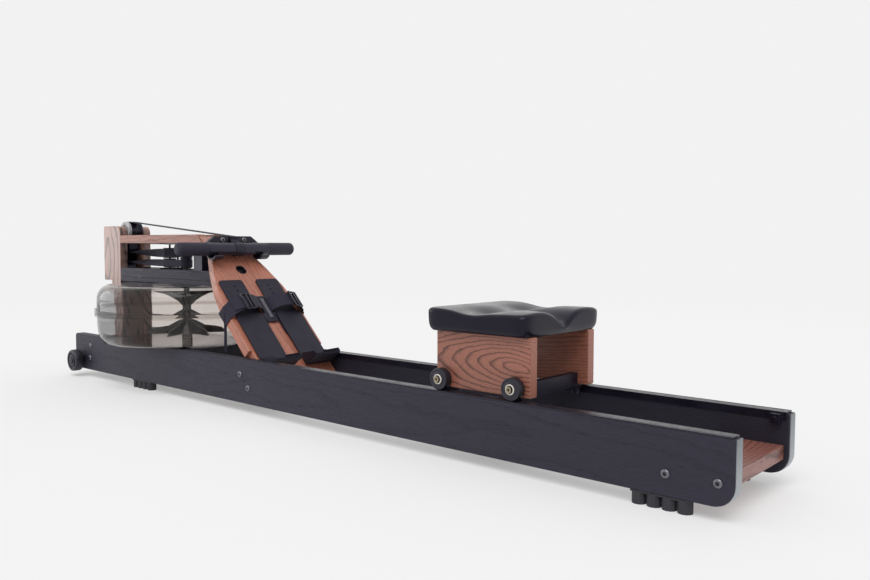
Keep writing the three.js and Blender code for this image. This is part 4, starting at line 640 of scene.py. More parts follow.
class ROWER_OT_hardware(bpy.types.Operator):
    """Finish the plastic, rubber and metal of the frame"""
    bl_idname = "rower.hardware"
    bl_label = "Plastic and metal"

    def execute(self, context):
        finish = settings()[0]
        black = moulded("black_plastic", finish.plastic, 0.42)
        # On the tracks the veil is heavy: their up-facing tops turn pale grey, partly dust and partly a painted
        # highlight along the top.
        tread = moulded("track_plastic", finish.plastic, 0.3, scale=500.0, dust_and_highlight=0.6)
        pad = moulded("pad_plastic", finish.plastic, 0.6, bump=0.3, dust_and_highlight=0.12)
        rubber = moulded("foot_rubber", [c * 2.0 for c in finish.rubber], 0.7, bump=0.4, scale=1200.0)
        steel = moulded("plain_steel", (0.55, 0.55, 0.56), 0.28, metallic=1.0)
        coated = moulded("coated_steel", (0.02, 0.02, 0.022), 0.35, metallic=0.6)
        vane = moulded("vane_plastic", (0.05, 0.05, 0.052), 0.3)
        given = {
            black: ("deck_rear_block", "handle_hooks", "handle_bar", "clutch_drum", "guide_roller_upper",
                    "guide_roller_lower", "drive_pulley", "recoil_pulley", "base_pulley", "bungee_pulley",
                    "seat_axle_front", "seat_axle_rear", "seat_pan"),
            tread: ("track_left", "track_right"),
            pad: ("foot_plate_left", "foot_plate_right", "heel_rest_left", "heel_rest_right"),
            rubber: ("foot_front_left", "foot_front_right", "foot_rear_left", "foot_rear_right"),
            steel: ("top_pulley_axle", "base_pulley_bracket"),
            coated: ("pulley_bracket", "shaft_bearing", "shaft_bridge", "roller_frame", "transport_axle"),
            vane: ("impeller",),
        }
        for mat, names in given.items():
            for name in names:
                give(name, mat)
        return {"FINISHED"}


class ROWER_OT_tank(bpy.types.Operator):
    """Turn the two clear shells of the tank"""
    bl_idname = "rower.tank"
    bl_label = "Tank shells"

    def execute(self, context):
        mat = clear_shell("smoked_shell", settings()[0].smoke, 115.0)
        bottom, seam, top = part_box("tank_lower_shell")[0][2] / MM, 219.0, 296.5
        radius, wall = 243.0, 4.0
        shoulder, shoulder_round = (radius - 38, top - 40), (38, 40)
        upper = [(12, top - wall), (12, top)] + arc(shoulder, shoulder_round, 90, 0)
        upper += [(radius, seam + 6), (radius + 1, seam + 4.3), (246, seam + 4.3), (246, seam + 0.3),
                  (radius - wall, seam + 0.3)]
        upper += arc(shoulder, [r - wall for r in shoulder_round], 0, 90)[:-1]
        turned_piece("tank_dome", upper, at(TANK_X, 0, 0), mat, "root", ("tank_upper_shell",), 128)
        heel, heel_round = (radius - 26, bottom + 62), (26, 62)
        ring_low, ring_high, ring_out = seam - 9, seam + 9, 249.3
        lower = [(0, bottom)] + arc(heel, heel_round, -90, 0)
        lower += [(radius, seam - 6), (radius + 1, seam - 4), (246.3, seam - 4), (246.3, ring_low),
                  (ring_out, ring_low), (ring_out, ring_high), (246.6, ring_high), (246.6, seam),
                  (radius - wall, seam)]
        lower += arc(heel, [r - wall for r in heel_round], 0, -90)
        floor, cup = bottom + wall, bottom + wall + 16
        lower += [(15, floor), (15, cup), (0, cup)]
        turned_piece("tank_bowl", lower, at(TANK_X, 0, 0), mat, "root", ("tank_lower_shell",), 128, False)
        plug = [(0, 0.2), (20, 0.2), (20, 4.5), (18.5, 6), (8, 6), (7, 5), (0, 5)]
        turned_piece("filler_plug", plug, at(TANK_X, 135, top), bpy.data.materials["black_plastic"], "root",
                     steps=48, closed=False)
        return {"FINISHED"}


def seat_wheel_profile(half):
    """A moulded wheel with a rounded tread, a dished side and a raised hub ring, outer side up."""
    bore, hub, edge, soft = 4.6, 9.5, 2.2, 0.66
    shoulder = SEAT_WHEEL - edge
    tread = [(bore, -half), (shoulder, -half), (SEAT_WHEEL - soft, soft - half), (SEAT_WHEEL, edge - half),
             (SEAT_WHEEL, half - edge), (SEAT_WHEEL - soft, half - soft), (shoulder, half)]
    side = [(shoulder - 1.2, half), (shoulder - 1.8, half - 0.8), (hub + 2.6, half - 0.8),
            (hub + 1.8, half - 0.2), (hub, half - 0.2), (hub - 0.4, half - 1.6), (bore, half - 1.6)]
    return tread + side


class ROWER_OT_wheels(bpy.types.Operator):
    """Turn the seat wheels and the transport wheels"""
    bl_idname = "rower.wheels"
    bl_label = "Wheels"

    def execute(self, context):
        tyre = moulded("wheel_tyre", settings()[0].rubber, 0.45, bump=0.25, scale=1400.0)
        bearing = moulded("wheel_hub", (0.62, 0.58, 0.50), 0.4)
        for end in ("front", "rear"):
            for side, sign in SIDES:
                node = f"seat_wheel_{end}_{side}"
                centre, (_, half, _) = middle(node)
                place = at(*centre) @ to_side(sign)
                turned_piece(node + "_tyre", seat_wheel_profile(half), place, tyre, node, (node,))
                ring = [(7.0, half - 1.4), (9.7, half - 1.4), (9.7, half + 0.9), (9.0, half + 1.5),
                        (7.4, half + 1.5), (7.0, half + 0.8)]
                turned_piece(node + "_bearing", ring, place, bearing, node, steps=48)
        brass = moulded("axle_cap", (0.30, 0.24, 0.15), 0.35, metallic=0.6)
        cap = [(2.6, 0.05), (6.1, 0.05), (5.7, 0.8), (3.2, 0.8), (2.6, 0.3)]
        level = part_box("seat_wheel_front_left")[0][2] / MM + SEAT_WHEEL
        bm = bmesh.new()
        for end in ("front", "rear"):
            centre, half = middle("seat_axle_" + end)
            for _, sign in SIDES:
                place = at(centre[0], centre[1] + sign * half[1], level) @ to_side(sign)
                spin_profile(bm, cap, place, 32)
        finish_piece("axle_caps", bm, brass, "seat")
        for side, sign in SIDES:
            node = f"transport_wheel_{side}"
            centre, (_, half, _) = middle(node)
            profile = [(6.6, -half), (28, -half), (31.6, 1.2 - half), (33, 4 - half), (33, half - 4),
                       (31.6, half - 1.2), (28, half), (24.5, half), (23.8, half - 3), (18.4, half - 3),
                       (17.6, half), (12.0, half), (11.2, half - 1.5), (6.6, half - 1.5)]
            turned_piece(node + "_tyre", profile, at(*centre) @ to_side(sign), tyre, node, (node,))
        return {"FINISHED"}


def draw_sleeve(mat):
    """Makes the middle of the foam grips a glossier sleeve that ends in a dark seam line."""
    tree, shader = mat.node_tree, mat.node_tree.nodes["Principled BSDF"]
    from_middle = size_of(tree, axis(tree, object_place(tree), "Y"))
    sleeve = map_range(tree, from_middle, 0.094, 0.095, 1.0, 0.0)
    off_seam = size_of(tree, math_node(tree, "SUBTRACT", from_middle, 0.0945))
    seam = map_range(tree, off_seam, 0.0004, 0.0016, 0.9, 0.0)
    plain, dull = (shader.inputs[key].links[0].from_socket for key in ("Base Color", "Roughness"))
    connect(tree, shader, {"Base Color": mix_colour(tree, seam, plain, BLACK),
                           "Roughness": plus(tree, dull, times(tree, sleeve, -0.36))})


class ROWER_OT_handle(bpy.types.Operator):
    """Turn the two foam grips of the handle"""
    bl_idname = "rower.handle"
    bl_label = "Handle grips"

    def execute(self, context):
        foam = moulded("grip_foam", (0.0130, 0.0110, 0.0190), 0.62, bump=0.5, scale=1500.0, radius=0.0004)
        draw_sleeve(foam)
        radius, tip = 17.5, 9
        for side, sign in SIDES:
            node = f"handle_grip_{side}"
            (x, y, z), (_, half, _) = middle(node)
            end = sign * y + half
            profile = [(12.8, 13.8), (16.6, 13.8), (radius, 14.7)]
            profile += arc((radius - tip, end - tip), (tip, tip), 0, 90, 8) + [(0, end)]
            turned_piece(node + "_foam", profile, at(x, 0, z) @ to_side(sign), foam, "handle", (node,), 64, False)
        return {"FINISHED"}


def cushion_dip(x, y, z, half_x):
    """How far the thigh dips, the relief at the tail and the fall of the sides lower a point, in millimetres."""
    y = abs(y)
    hold = unit((z + 38) / 29)
    thigh = math.exp(-((x + 10) / 42) ** 2) * (9 + 7 * math.exp(-((y - 58) / 34) ** 2))
    relief = math.exp(-(y / 34) ** 1.7) * 27 * unit((x + 30) / (half_x + 30)) ** 1.4
    fall = 5.0 * max(0.0, (y - 70) / 62) ** 2 * unit((x + 10) / 60)
    return (max(thigh, relief) + 0.25 * min(thigh, relief) + fall) * hold


class ROWER_OT_cushion(bpy.types.Operator):
    """Shape the moulded seat cushion"""
    bl_idname = "rower.cushion"
    bl_label = "Seat cushion"

    def execute(self, context):
        low, high = (Vector(corner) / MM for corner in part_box("seat_cushion"))
        low.x -= 4
        centre = (low + high) / 2
        half_x, half_y = (high.x - low.x) / 2, (high.y - low.y) / 2
        mat = moulded("cushion_skin", (0.0045, 0.0038, 0.0090), 0.22, bump=0.03, scale=2200.0, radius=0.002,
                      smudge=0.04, dust_and_highlight=0.06)
        bm = bmesh.new()
        bmesh.ops.create_grid(bm, x_segments=46, y_segments=52, size=1.0)
        rim, power = 8.0, 14.0
        reach_x, reach_y = half_x - rim, half_y - rim
        for v in bm.verts:
            x, y = v.co.x, v.co.y
            norm = (abs(x) ** power + abs(y) ** power) ** (1 / power) or 1.0
            share = max(abs(x), abs(y)) / norm
            v.co = Vector((x * share * reach_x, y * share * reach_y, 0))
        edge = [e for e in bm.edges if e.is_boundary]
        rings = [(out, out, level) for level, out in arc((-rim, rim), (rim, -rim), 15, 90, 5)]
        rings += [(0.4, 0.4, -22), (0.9, 0.9, -31), (2.0, 2.4, -37), (3.6, 5.0, -41.5), (5.0, 8.6, -44.2),
                  (5.4, 11.0, -45), (7.4, 21.2, -45), (7.4, 21.2, -39)]
        for inset_x, inset_y, level in rings:
            made = bmesh.ops.extrude_edge_only(bm, edges=edge)["geom"]
            new_x, new_y = half_x - inset_x, half_y - inset_y
            for v in [g for g in made if isinstance(g, bmesh.types.BMVert)]:
                v.co = Vector((v.co.x * new_x / reach_x, v.co.y * new_y / reach_y, level))
            reach_x, reach_y = new_x, new_y
            edge = [g for g in made if isinstance(g, bmesh.types.BMEdge)]
        bmesh.ops.contextual_create(bm, geom=edge)
        for v in bm.verts:
            v.co.z -= cushion_dip(*v.co, half_x)
        bmesh.ops.recalc_face_normals(bm, faces=bm.faces[:])
        bmesh.ops.scale(bm, verts=bm.verts[:], vec=(MM, MM, MM))
        bmesh.ops.translate(bm, verts=bm.verts[:], vec=spot(centre.x, centre.y, high.z))
        mat.node_tree.nodes["Principled BSDF"].inputs["Specular IOR Level"].default_value = 0.26
        piece = finish_piece("seat_pad", bm, mat, "seat", ("seat_cushion",))
        rounds = piece.modifiers.new("rounding", "SUBSURF")
        rounds.levels = rounds.render_levels = 1
        return {"FINISHED"}


HEAD_SHAPE = ((0, 0.35), (0.38, 0.35), (0.42, 0.94), (0.55, 1), (0.80, 0.86), (0.95, 0.55), (1, 0.2), (1, 0),
              (0, 0))


def bolt_head_in(bm, place, radius, height):
    """A domed head whose axis is place's Z, seated on place's origin, in millimetres."""
    spin_profile(bm, [(r * radius, h * height) for r, h in HEAD_SHAPE], place, 36, False)


class ROWER_OT_bolts(bpy.types.Operator):
    """Set the socket bolts in rails, deck, hooks and footboard"""
    bl_idname = "rower.bolts"
    bl_label = "Socket bolts"

    def execute(self, context):
        sizes = settings()[2]
        radius, height = sizes.bolt_head / 2 / MM, sizes.bolt_height / MM
        mat = moulded("bolt_steel", (0.17, 0.17, 0.19), 0.33, metallic=0.9)
        # bolt_socket is the near-black of the painted shade in the bolt heads' sockets.
        dark = moulded("bolt_socket", (0.004, 0.004, 0.006), 0.5)
        heads, sockets = bmesh.new(), bmesh.new()
        places = [at(x, sign * RAIL_OUTER, z) @ to_side(sign) for _, sign in SIDES for x, z in RAIL_BOLTS]
        hook_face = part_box("handle_hooks")[0][0] / MM + HOOK_BOLT[0]
        places += [at(hook_face, sign * HOOK_BOLT[1], HOOK_BOLT[2]) @ Matrix.Rotation(QUARTER, 4, "Y")
                   for _, sign in SIDES]
        for place in places:
            bolt_head_in(heads, place, radius, height)
            # Painted shade: a near-black hex fills each head's socket recess and stands for the shade inside it.
            bmesh.ops.create_cone(
                sockets, cap_ends=True, segments=6, radius1=radius * 0.50 * MM, radius2=radius * 0.46 * MM,
                depth=height * 0.75 * MM, matrix=place @ at(0, 0, height * 0.66))
        bolt_head_in(sockets, BOARD_PLANE @ at(BOARD_BOLT, 2, -12.1), radius * 1.35, height * 1.6)
        place = at(BEAM_BOLT[0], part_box("tank_top_beam")[0][1] / MM, BEAM_BOLT[1]) @ to_side(-1)
        bolt_head_in(heads, place, radius * 0.45, height * 0.4)
        finish_piece("socket_bolts", heads, mat, "root")
        finish_piece("bolt_sockets", sockets, dark, "root")
        return {"FINISHED"}


# Places of the drive's pulleys and rollers that the belts run over, in millimetres
GAP = 0.3
BELT = 2.0
TOP_PULLEY = (-925.0, 452.7, 26.0)
DRIVE_PULLEY = (-933.0, 402.3, 18.0)
RECOIL_PULLEY = (-943.7, 336.2, 18.0)
BASE_PULLEY = (-949.7, 36.4, 12.0)
BUNGEE_PULLEY_X, BUNGEE_PULLEY, CORD = 940, 14, 4
ROLLER, DRUM = 18.0, 16.0
ROLLER_X = -702.0
DRIVE_LEVEL, RECOIL_LEVEL = 384.0, 354.5


def wrap(centre, radius, start, end, across, facing=1, steps=20):
    """Stations round a pulley between two angles. across is the way that the angles turn towards from X."""
    turn = 1 if end > start else -1
    made = []
    for k in range(steps + 1):
        a = start + (end - start) * k / steps
        radial = Vector((math.cos(a), 0, 0)) + across * math.sin(a)
        along = (Vector((-math.sin(a), 0, 0)) + across * math.cos(a)) * turn
        made.append((centre + radial * radius * MM, radial * facing, along))
    return made


def wrap_pulley(pulley, start, end):
    """Stations round one of the pulleys of the kingpost, whose axle lies across the machine."""
    return wrap(spot(pulley[0], 0, pulley[1]), pulley[2] + GAP, start, end, Vector((0, 0, 1)))


def wrap_upright(x, level, radius, start, end, facing, steps):
    """Stations round a roller or the drum, whose axle stands."""
    return wrap(spot(x, 0, level), radius, start, end, Vector((0, 1, 0)), facing, steps)


def heading(x1, r1, s1, x2, r2, s2):
    """The angle of a line that touches two round parts at x1 and x2, on their sides s1 and s2."""
    return -math.asin((s1 * r1 - s2 * r2) / (x2 - x1))


def twist(start, end, flat_out, angle, steps=22):
    """Stations along a quarter twist from a lying pulley's face to an upright roller's."""
    along = (end - start).normalized()
    upright = Vector((math.sin(angle), -math.cos(angle), 0))
    made = []
    for k in range(1, steps):
        share = k / steps
        a = share * QUARTER
        made.append((start.lerp(end, share), flat_out * math.cos(a) + upright * math.sin(a), along))
    return made


def drive_strap_stations():
    """The strap from the handle's tab over the top pulley, and from there to the drum."""
    bar, crest = spot(-360, 0, 397), spot(-374.3, 0, 429.5)
    lean, tab = 0.52, 12.8 + 6 + 9 + GAP
    drop = Vector((-math.sin(lean), 0, math.cos(lean)))
    drop_out = Vector((math.cos(lean), 0, math.sin(lean)))
    end = bar + drop * tab * MM - drop_out * MM
    top = spot(TOP_PULLEY[0], 0, TOP_PULLEY[1] + TOP_PULLEY[2] + GAP)
    slope = math.atan2(crest.z - top.z, crest.x - top.x)
    over = wrap_pulley(TOP_PULLEY, QUARTER + slope, math.pi)
    out, along = Vector((-math.sin(slope), 0, math.cos(slope))), Vector((-math.cos(slope), 0, -math.sin(slope)))
    top_run = [(end, drop_out, drop), (end.lerp(crest, 0.6), drop_out, drop),
               (crest, Vector((0.6, 0, 0.8)), Vector((-1, 0, 0.2)))]
    top_run += [(crest.lerp(over[0][0], k / 40), out, along) for k in range(1, 40)] + over
    under = wrap_pulley(DRIVE_PULLEY, math.pi, 1.5 * math.pi)
    start = under[-1][0]
    out_angle = heading(start.x / MM, 0, 1, ROLLER_X, ROLLER + GAP, -1)
    cross = heading(ROLLER_X, ROLLER + GAP, -1, TANK_X, DRUM + GAP + BELT, 1)
    roller = wrap_upright(ROLLER_X, DRIVE_LEVEL, ROLLER + GAP, out_angle - QUARTER, cross - QUARTER, 1, 4)
    meet = cross + QUARTER
    drum = wrap_upright(TANK_X, DRIVE_LEVEL, DRUM + GAP + BELT, meet, meet - 3.4, -1, 28)
    down = twist(start, roller[0][0], Vector((0, 0, -1)), out_angle)
    return top_run, over[-1:] + under + down + roller + drum


def recoil_belt_stations():
    """The belt from the drum back over its pulley and down to the bungee's cord."""
    over = wrap_pulley(RECOIL_PULLEY, QUARTER, math.pi)
    start = over[0][0]
    out_angle = heading(start.x / MM, 0, 1, ROLLER_X, ROLLER + GAP, -1)
    cross = heading(ROLLER_X, ROLLER + GAP, -1, TANK_X, DRUM + GAP, -1)
    roller = wrap_upright(ROLLER_X, RECOIL_LEVEL, ROLLER + GAP, out_angle - QUARTER,
                          cross - QUARTER + 1e-4, 1, 2)
    meet = cross - QUARTER
    drum = wrap_upright(TANK_X, RECOIL_LEVEL, DRUM + GAP, meet, meet + 3.2, 1, 28)
    line = twist(start, roller[0][0], Vector((0, 0, 1)), out_angle) + roller + drum
    made = [(p, out, -along) for p, out, along in reversed(line)] + over
    made += wrap_pulley(BASE_PULLEY, math.pi, 1.5 * math.pi)
    made.append((spot(-560, 0, BASE_PULLEY[1] - BASE_PULLEY[2] - GAP), Vector((0, 0, -1)), Vector((1, 0, 0))))
    return made


def bungee_in(bm):
    """The cord under the rails, round its tail pulley and back to the footboard's foot."""
    level = BASE_PULLEY[1] - BASE_PULLEY[2] - GAP - BELT / 2
    side = BUNGEE_PULLEY + CORD + GAP
    anchor = FOOTBOARD_FOOT + (SLOPE @ Vector((55.3, 0, -25.3 - 58.7 / 2)))
    path = [spot(-559.7, 0, level), spot(-500, -side * 0.15, level)]
    path += [spot(x, y, level) for x, y in arc((BUNGEE_PULLEY_X, 0), (side, side), -90, 90, 16)]
    path += [spot(anchor.x + anchor.z - level, side, level), spot(anchor.x, side, anchor.z)]
    stations = []
    for point, along in zip(path, headings(path)):
        flat = Vector((-along.y, along.x, 0)).normalized()
        stations.append((point, flat, along.cross(flat)))
    radius, turns = CORD * MM, [math.tau * k / 12 for k in range(12)]
    sweep_in(bm, stations, [(radius * math.cos(a), radius * math.sin(a), radius * a) for a in turns])


class ROWER_OT_belts(bpy.types.Operator):
    """Run the handle strap, the recoil belt and the bungee through the drive"""
    bl_idname = "rower.belts"
    bl_label = "Belts and bungee"

    def execute(self, context):
        web = woven("strap_webbing", settings()[0].webbing)
        top_run, drum_run = drive_strap_stations()
        piece = band_piece("handle_strap", top_run, 0.025, BELT * MM, web, None, ("drive_strap",))
        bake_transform(piece)
        band_piece("drum_strap", drum_run, 0.025, BELT * MM, web, "root")
        band_piece("recoil_webbing", recoil_belt_stations(), 0.021, BELT * MM, web, "root", ("recoil_belt",))
        bm = bmesh.new()
        bungee_in(bm)
        finish_piece("bungee", bm, web, "root", ("bungee_cord",))
        return {"FINISHED"}


# The arch of the foot strap over each foot plate, in the footboard's plane, in millimetres
STRAP_MIDDLE, STRAP_BASE = 62.5, 1.5
STRAP_HALF, STRAP_ARCH = 50.3, 28.6
STRAP_RISE = 163.0


def strap_arch(grown, start, end, count):
    return arc((STRAP_MIDDLE, STRAP_BASE), (STRAP_HALF + grown, STRAP_ARCH + grown), start, end, count)


def strap_stations(line, shift):
    """Stations on the footboard's plane from a line of (y, z) in millimetres, along the webbing's middle."""
    turn = BOARD_PLANE.to_3x3()
    points = [Vector((-STRAP_RISE + shift(abs(y)), y, z)) for y, z in line]
    made = []
    for point, ahead in zip(points, headings(points)):
        out = Vector((0, ahead.z, -ahead.y)).normalized()
        made.append((BOARD_PLANE @ ((point - out * 1.2) * MM), turn @ out, turn @ ahead))
    return made


class ROWER_OT_foot_straps(bpy.types.Operator):
    """Lay the webbing over both foot plates and round the board's edges"""
    bl_idname = "rower.foot_straps"
    bl_label = "Foot straps"

    def execute(self, context):
        web = woven("foot_webbing", settings()[0].webbing)
        side = BOARD_SIDE + 1.6
        line = [(96, -27.2), (side - 5, -27.2), (side - 1, -26.2), (side, -22), (side, -12), (side, -3),
                (side - 0.9, 0.6), (side - 2.8, 2.0), (side - 4.2, 4.0)]
        line += strap_arch(0, 9, 171, 28) + [(11.6, 3.4), (10.2, 1.9), (7.0, 1.5)]
        line += [(-y, z) for y, z in reversed(line)]
        stations = strap_stations(line, lambda y: 11 * max(0.0, (y - 40) / 76) ** 2)
        band_piece("foot_webbing", stations, 0.043, 0.0024, web, "root", ("foot_straps",))
        bm = bmesh.new()
        tail = strap_arch(3, 34, 84, 12)
        for doubled in ([(-y, z) for y, z in reversed(tail)], tail):
            band_in(bm, strap_stations(doubled, lambda y: 5.0), 0.036, 0.0022)
        hang = [spot(-247, 3 - side - 2.6, z) for z in (238, 232, 222, 205, 185, 165, 150, 139)]
        out = Matrix.Rotation(math.radians(58), 3, "Z") @ Vector((0, -1, 0))
        band_in(bm, [(point, out, ahead) for point, ahead in zip(hang, headings(hang))], 0.007, 0.0018)
        finish_piece("strap_tails", bm, web, "root")
        return {"FINISHED"}


# Corners of the bars that make up a buckle, in millimetres from its middle
BUCKLE_BARS = (((-26, -15, 2.2), (26, -10, 7.2)), ((-26, 9, 2.2), (26, 14, 7.2)),
               ((-26, -10.5, 2.6), (-22, 9.5, 6.8)), ((22, -10.5, 2.6), (26, 9.5, 6.8)),
               ((-22.5, -2.5, 4.6), (22.5, 2.5, 8.4)))


class ROWER_OT_buckles(bpy.types.Operator):
    """Set the strap buckles, the tongue between the foot plates and the cup of the footboard's bolt"""
    bl_idname = "rower.buckles"
    bl_label = "Buckles and tongue"

    def execute(self, context):
        black = moulded("buckle_plastic", (0.007, 0.007, 0.010), 0.26, bump=0.1)
        bm = bmesh.new()
        for y, x in ((-66, -157), (84, -157)):
            a = math.acos((abs(y) - STRAP_MIDDLE) / STRAP_HALF)
            level = STRAP_BASE + STRAP_ARCH * math.sin(a)
            lean = math.atan2(STRAP_ARCH * math.cos(a), STRAP_HALF * math.sin(a)) * (-1 if y > 0 else 1)
            seat = BOARD_PLANE @ at(x, y, level) @ Matrix.Rotation(lean, 4, "X")
            for low, high in BUCKLE_BARS:
                box_in(bm, low, high, 1.1, 2, seat)
        finish_piece("strap_buckles", bm, black, "root")
        near = [(-196, -20.3), (-187.5, -20.3), (-187.5, -9.6), (-138, -9.6), (-138, -20.3), (-108, -17)]
        bm = bmesh.new()
        plate_in(bm, near + [(x, -y) for x, y in reversed(near)], 3.0, 6.4, 1.0, BOARD_PLANE)
        finish_piece("strap_tongue", bm, bpy.data.materials["pad_plastic"], "root")
        bm = bmesh.new()
        box_in(bm, (-186, -3.4, 6.6), (-120, 7.4, 8.6), 0.9, 3, BOARD_PLANE)
        finish_piece("tongue_stripe", bm, moulded("stripe_grey", (0.075, 0.07, 0.085), 0.25), "root")
        cup = [(0, -13.7), (15.2, -13.7), (15.2, 0.6), (14.4, 1.0), (13.2, 0.2), (12.8, -12.2), (0, -12.2)]
        turned_piece("bolt_cup", cup, BOARD_PLANE @ at(BOARD_BOLT, 0, 0), black, "root", steps=64, closed=False)
        return {"FINISHED"}


class ROWER_OT_top_pulley(bpy.types.Operator):
    """Turn the top pulley: a black spool with a pale flange on the near side"""
    bl_idname = "rower.top_pulley"
    bl_label = "Top pulley"

    def execute(self, context):
        (x, _, z), (radius, half, _) = middle("top_pulley")
        place = at(x, 0, z) @ to_side(1)
        groove, bore = TOP_PULLEY[2] - 0.4, 4.6
        spool = [(bore, -13.0), (groove, -13.0), (groove, 13.0), (radius - 0.6, 13.3), (radius, 14.2),
                 (radius, half - 1.2), (radius - 1.2, half), (18, half), (16.5, half - 3), (8.5, half - 3),
                 (8, half), (bore, half)]
        mat = moulded("spool_plastic", settings()[0].plastic, 0.35)
        turned_piece("top_pulley_spool", spool, place, mat, "top_pulley", ("top_pulley",))
        flange = [(bore, -half), (8, -half), (8.5, 3 - half), (16.5, 3 - half), (18, -half),
                  (radius - 1.4, -half), (radius, 1.4 - half), (radius, -14.2), (radius - 0.6, -13.3),
                  (bore, -13.3)]
        mat = moulded("grey_plastic", (0.42, 0.42, 0.43), 0.4)
        turned_piece("top_pulley_flange", flange, place, mat, "top_pulley")
        return {"FINISHED"}


def fade_down(mat):
    """Darkens the strips from their foot up to the rail's top."""
    tree, shader = mat.node_tree, mat.node_tree.nodes["Principled BSDF"]
    level = axis(tree, object_place(tree), "Z")
    fall = map_range(tree, level, RAIL_BOTTOM * MM + 0.02, RAIL_TOP * MM, 0.0, 0.72)
    plain = shader.inputs["Base Color"].links[0].from_socket
    connect(tree, shader, {"Base Color": mix_colour(tree, fall, plain, (0.07, 0.09, 0.10, 1))})


class ROWER_OT_trim(bpy.types.Operator):
    """Fix the pale strips on the rails' tail ends"""
    bl_idname = "rower.trim"
    bl_label = "Small trim"

    def execute(self, context):
        thick = settings()[2].edge_strip / MM
        mat = moulded("strip_grey", (0.36, 0.385, 0.41), 0.4)
        fade_down(mat)
        corner_x, corner_z = RAIL_END - RAIL_TAIL_ROUND, RAIL_BOTTOM + RAIL_TAIL_ROUND
        top, inset, sunk = RAIL_TOP - 3.5, 1.5, -0.3
        flats, bends, bend, taper = 8, 13, 5, 8
        path = [(RAIL_END, top - (top - corner_z) * k / flats) for k in range(flats)]
        path += arc((corner_x, corner_z), (RAIL_TAIL_ROUND, -RAIL_TAIL_ROUND), 0, bends * bend, bends)
        bm = bmesh.new()
        for _, sign in SIDES:
            low, high = sorted((sign * RAIL_OUTER, sign * RAIL_INNER))
            low, high = low + inset, high - inset
            rows = []
            for k, (x, z) in enumerate(path):
                turn = math.radians(max(0, k - flats) * bend)
                rise = thick * min(1.0, (len(path) - k) / taper)
                far = high - (high - low) * 0.5 * max(0.0, (k - flats) / bends) ** 2
                rows.append([bm.verts.new(spot(x + math.cos(turn) * lift, y, z - math.sin(turn) * lift))
                             for y, lift in ((low, sunk), (low, rise), (far, rise), (far, sunk))])
            for a, b in zip(rows, rows[1:]):
                for m in range(4):
                    bm.faces.new((a[m], a[(m + 1) % 4], b[(m + 1) % 4], b[m]))
            bm.faces.new(rows[0][::-1])
            bm.faces.new(rows[-1])
        bmesh.ops.recalc_face_normals(bm, faces=bm.faces[:])
        finish_piece("end_strips", bm, mat, "root")
        return {"FINISHED"}


# The photo's camera: its place in metres, and its turn from the y axis, its tilt down and its roll in degrees
CAMERA_PLACE = (1.47184, -1.27821, 0.40811)
CAMERA_TURNS = (41.2557, 3.1912, 0.1047)
# Where the lamps shine to, and the place of the sheen and the extent of the floor in metres
KEY_TOWARDS, KEY_SPREAD = (-0.35, 0.60, -1.0), 45
SHEEN_TOWARDS, SHEEN_PLACE, SHEEN_SIZE = (2.4, 1.45, -0.55), (-3.4, -1.5, 0.95), (2.4, 1.6)
FLOOR_RADIUS, FADE_FROM, FADE_TO = 14.0, 1.6, 4.5


def set_world(scene, studio):
    """An even light all round, which the camera and the reflections see as the backdrop."""
    world = bpy.data.worlds.new("studio")
    scene.world = world
    world.use_nodes = True
    tree = world.node_tree
    tree.nodes.clear()
    seen = add(tree, "LightPath").outputs
    direct = math_node(tree, "MAXIMUM", seen["Is Camera Ray"], seen["Is Glossy Ray"])
    direct = math_node(tree, "MAXIMUM", direct, seen["Is Transmission Ray"])
    shown = add(tree, "Background", {"Color": colour(studio.backdrop), "Strength": 1.0})
    lit = add(tree, "Background", {"Color": WHITE, "Strength": studio.sky_strength})
    both = add(tree, "MixShader", {0: direct, 1: lit.outputs[0], 2: shown.outputs[0]})
    add(tree, "OutputWorld", {"Surface": both.outputs[0]})


def add_lamp(name, kind, energy, towards):
    lamp = put_in_scene(name, bpy.data.lights.new(name, kind))
    lamp.data.energy = energy
    lamp.rotation_euler = Vector(towards).to_track_quat("-Z", "Y").to_euler()
    return lamp


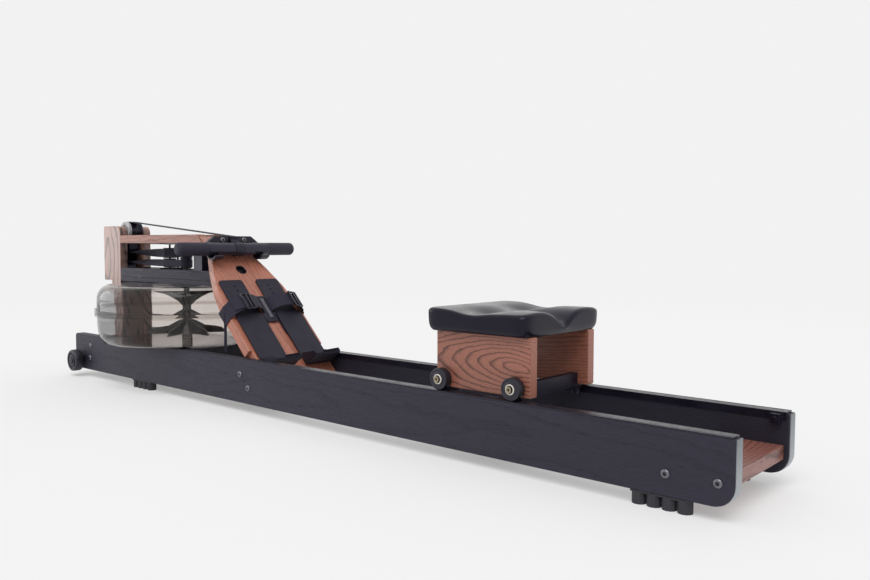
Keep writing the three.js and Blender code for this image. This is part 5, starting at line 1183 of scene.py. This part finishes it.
class ROWER_OT_stage(bpy.types.Operator):
    """Set the floor, the light and the camera"""
    bl_idname = "rower.stage"
    bl_label = "Studio"

    def execute(self, context):
        studio = settings()[1]
        scene = context.scene
        scene.view_settings.view_transform = "Standard"
        holder = put_in_scene("camera", bpy.data.cameras.new("camera"))
        holder.data.lens = studio.lens
        holder.data.sensor_width = 36
        holder.data.clip_end = 100
        yaw, pitch, roll = (math.radians(a) for a in CAMERA_TURNS)
        holder.matrix_world = (Matrix.Translation(CAMERA_PLACE) @ Matrix.Rotation(yaw, 4, "Z")
                               @ Matrix.Rotation(QUARTER - pitch, 4, "X") @ Matrix.Rotation(roll, 4, "Z"))
        scene.camera = holder
        set_world(scene, studio)
        key = add_lamp("key", "SUN", studio.sun_strength, KEY_TOWARDS)
        key.data.angle = math.radians(KEY_SPREAD)
        sheen = add_lamp("sheen", "AREA", studio.sheen_power, SHEEN_TOWARDS)
        sheen.data.shape = "RECTANGLE"
        sheen.data.size, sheen.data.size_y = SHEEN_SIZE
        sheen.location = SHEEN_PLACE
        sheen.visible_diffuse = False

        bm = bmesh.new()
        bmesh.ops.create_circle(bm, cap_ends=True, segments=96, radius=FLOOR_RADIUS)
        mesh = bpy.data.meshes.new("floor")
        bm.to_mesh(mesh)
        bm.free()
        floor = put_in_scene("floor", mesh)
        mat, tree, shader = new_material("floor_paper", studio.backdrop)
        tree.nodes.remove(shader)
        far = add(tree, "VectorMath", {0: object_place(tree)}, operation="LENGTH").outputs["Value"]
        fade = map_range(tree, far, FADE_FROM, FADE_TO, 0.35, 1.0, smooth=True)
        paper = add(tree, "BsdfDiffuse", {"Color": colour(studio.backdrop)})
        glow = add(tree, "Emission", {"Color": colour(studio.backdrop), "Strength": 1.0})
        mixed = add(tree, "MixShader", {0: fade, 1: paper.outputs[0], 2: glow.outputs[0]})
        tree.links.new(mixed.outputs[0], tree.nodes["Material Output"].inputs["Surface"])
        mesh.materials.append(mat)
        return {"FINISHED"}


class ROWER_PT_panel(bpy.types.Panel):
    """Lists the steps that dress the machine"""
    bl_idname = "ROWER_PT_panel"
    bl_label = "Water rowing machine"
    bl_space_type = "VIEW_3D"
    bl_region_type = "UI"
    bl_category = "Rower"

    def draw(self, context):
        layout = self.layout
        for step in STEPS:
            layout.operator(step.bl_idname)
        for group in (context.scene.rower_finish, context.scene.rower_studio, context.scene.rower_sizes):
            box = layout.box()
            for key in group.__annotations__:
                box.prop(group, key)


STEPS = (ROWER_OT_groups, ROWER_OT_stage, ROWER_OT_boards, ROWER_OT_hardware, ROWER_OT_tank, ROWER_OT_wheels,
         ROWER_OT_handle, ROWER_OT_cushion, ROWER_OT_belts, ROWER_OT_top_pulley, ROWER_OT_foot_straps,
         ROWER_OT_buckles, ROWER_OT_bolts, ROWER_OT_trim)
CLASSES = (RowerFinish, RowerStudio, RowerSizes) + STEPS + (ROWER_PT_panel,)


def register():
    for cls in CLASSES:
        bpy.utils.register_class(cls)
    bpy.types.Scene.rower_finish = PointerProperty(type=RowerFinish)
    bpy.types.Scene.rower_studio = PointerProperty(type=RowerStudio)
    bpy.types.Scene.rower_sizes = PointerProperty(type=RowerSizes)


def unregister():
    for key in ("rower_finish", "rower_studio", "rower_sizes"):
        delattr(bpy.types.Scene, key)
    for cls in reversed(CLASSES):
        bpy.utils.unregister_class(cls)


def main():
    register()
    for step in STEPS:
        category, name = step.bl_idname.split(".")
        getattr(getattr(bpy.ops, category), name)()


if __name__ == "__main__":
    main()
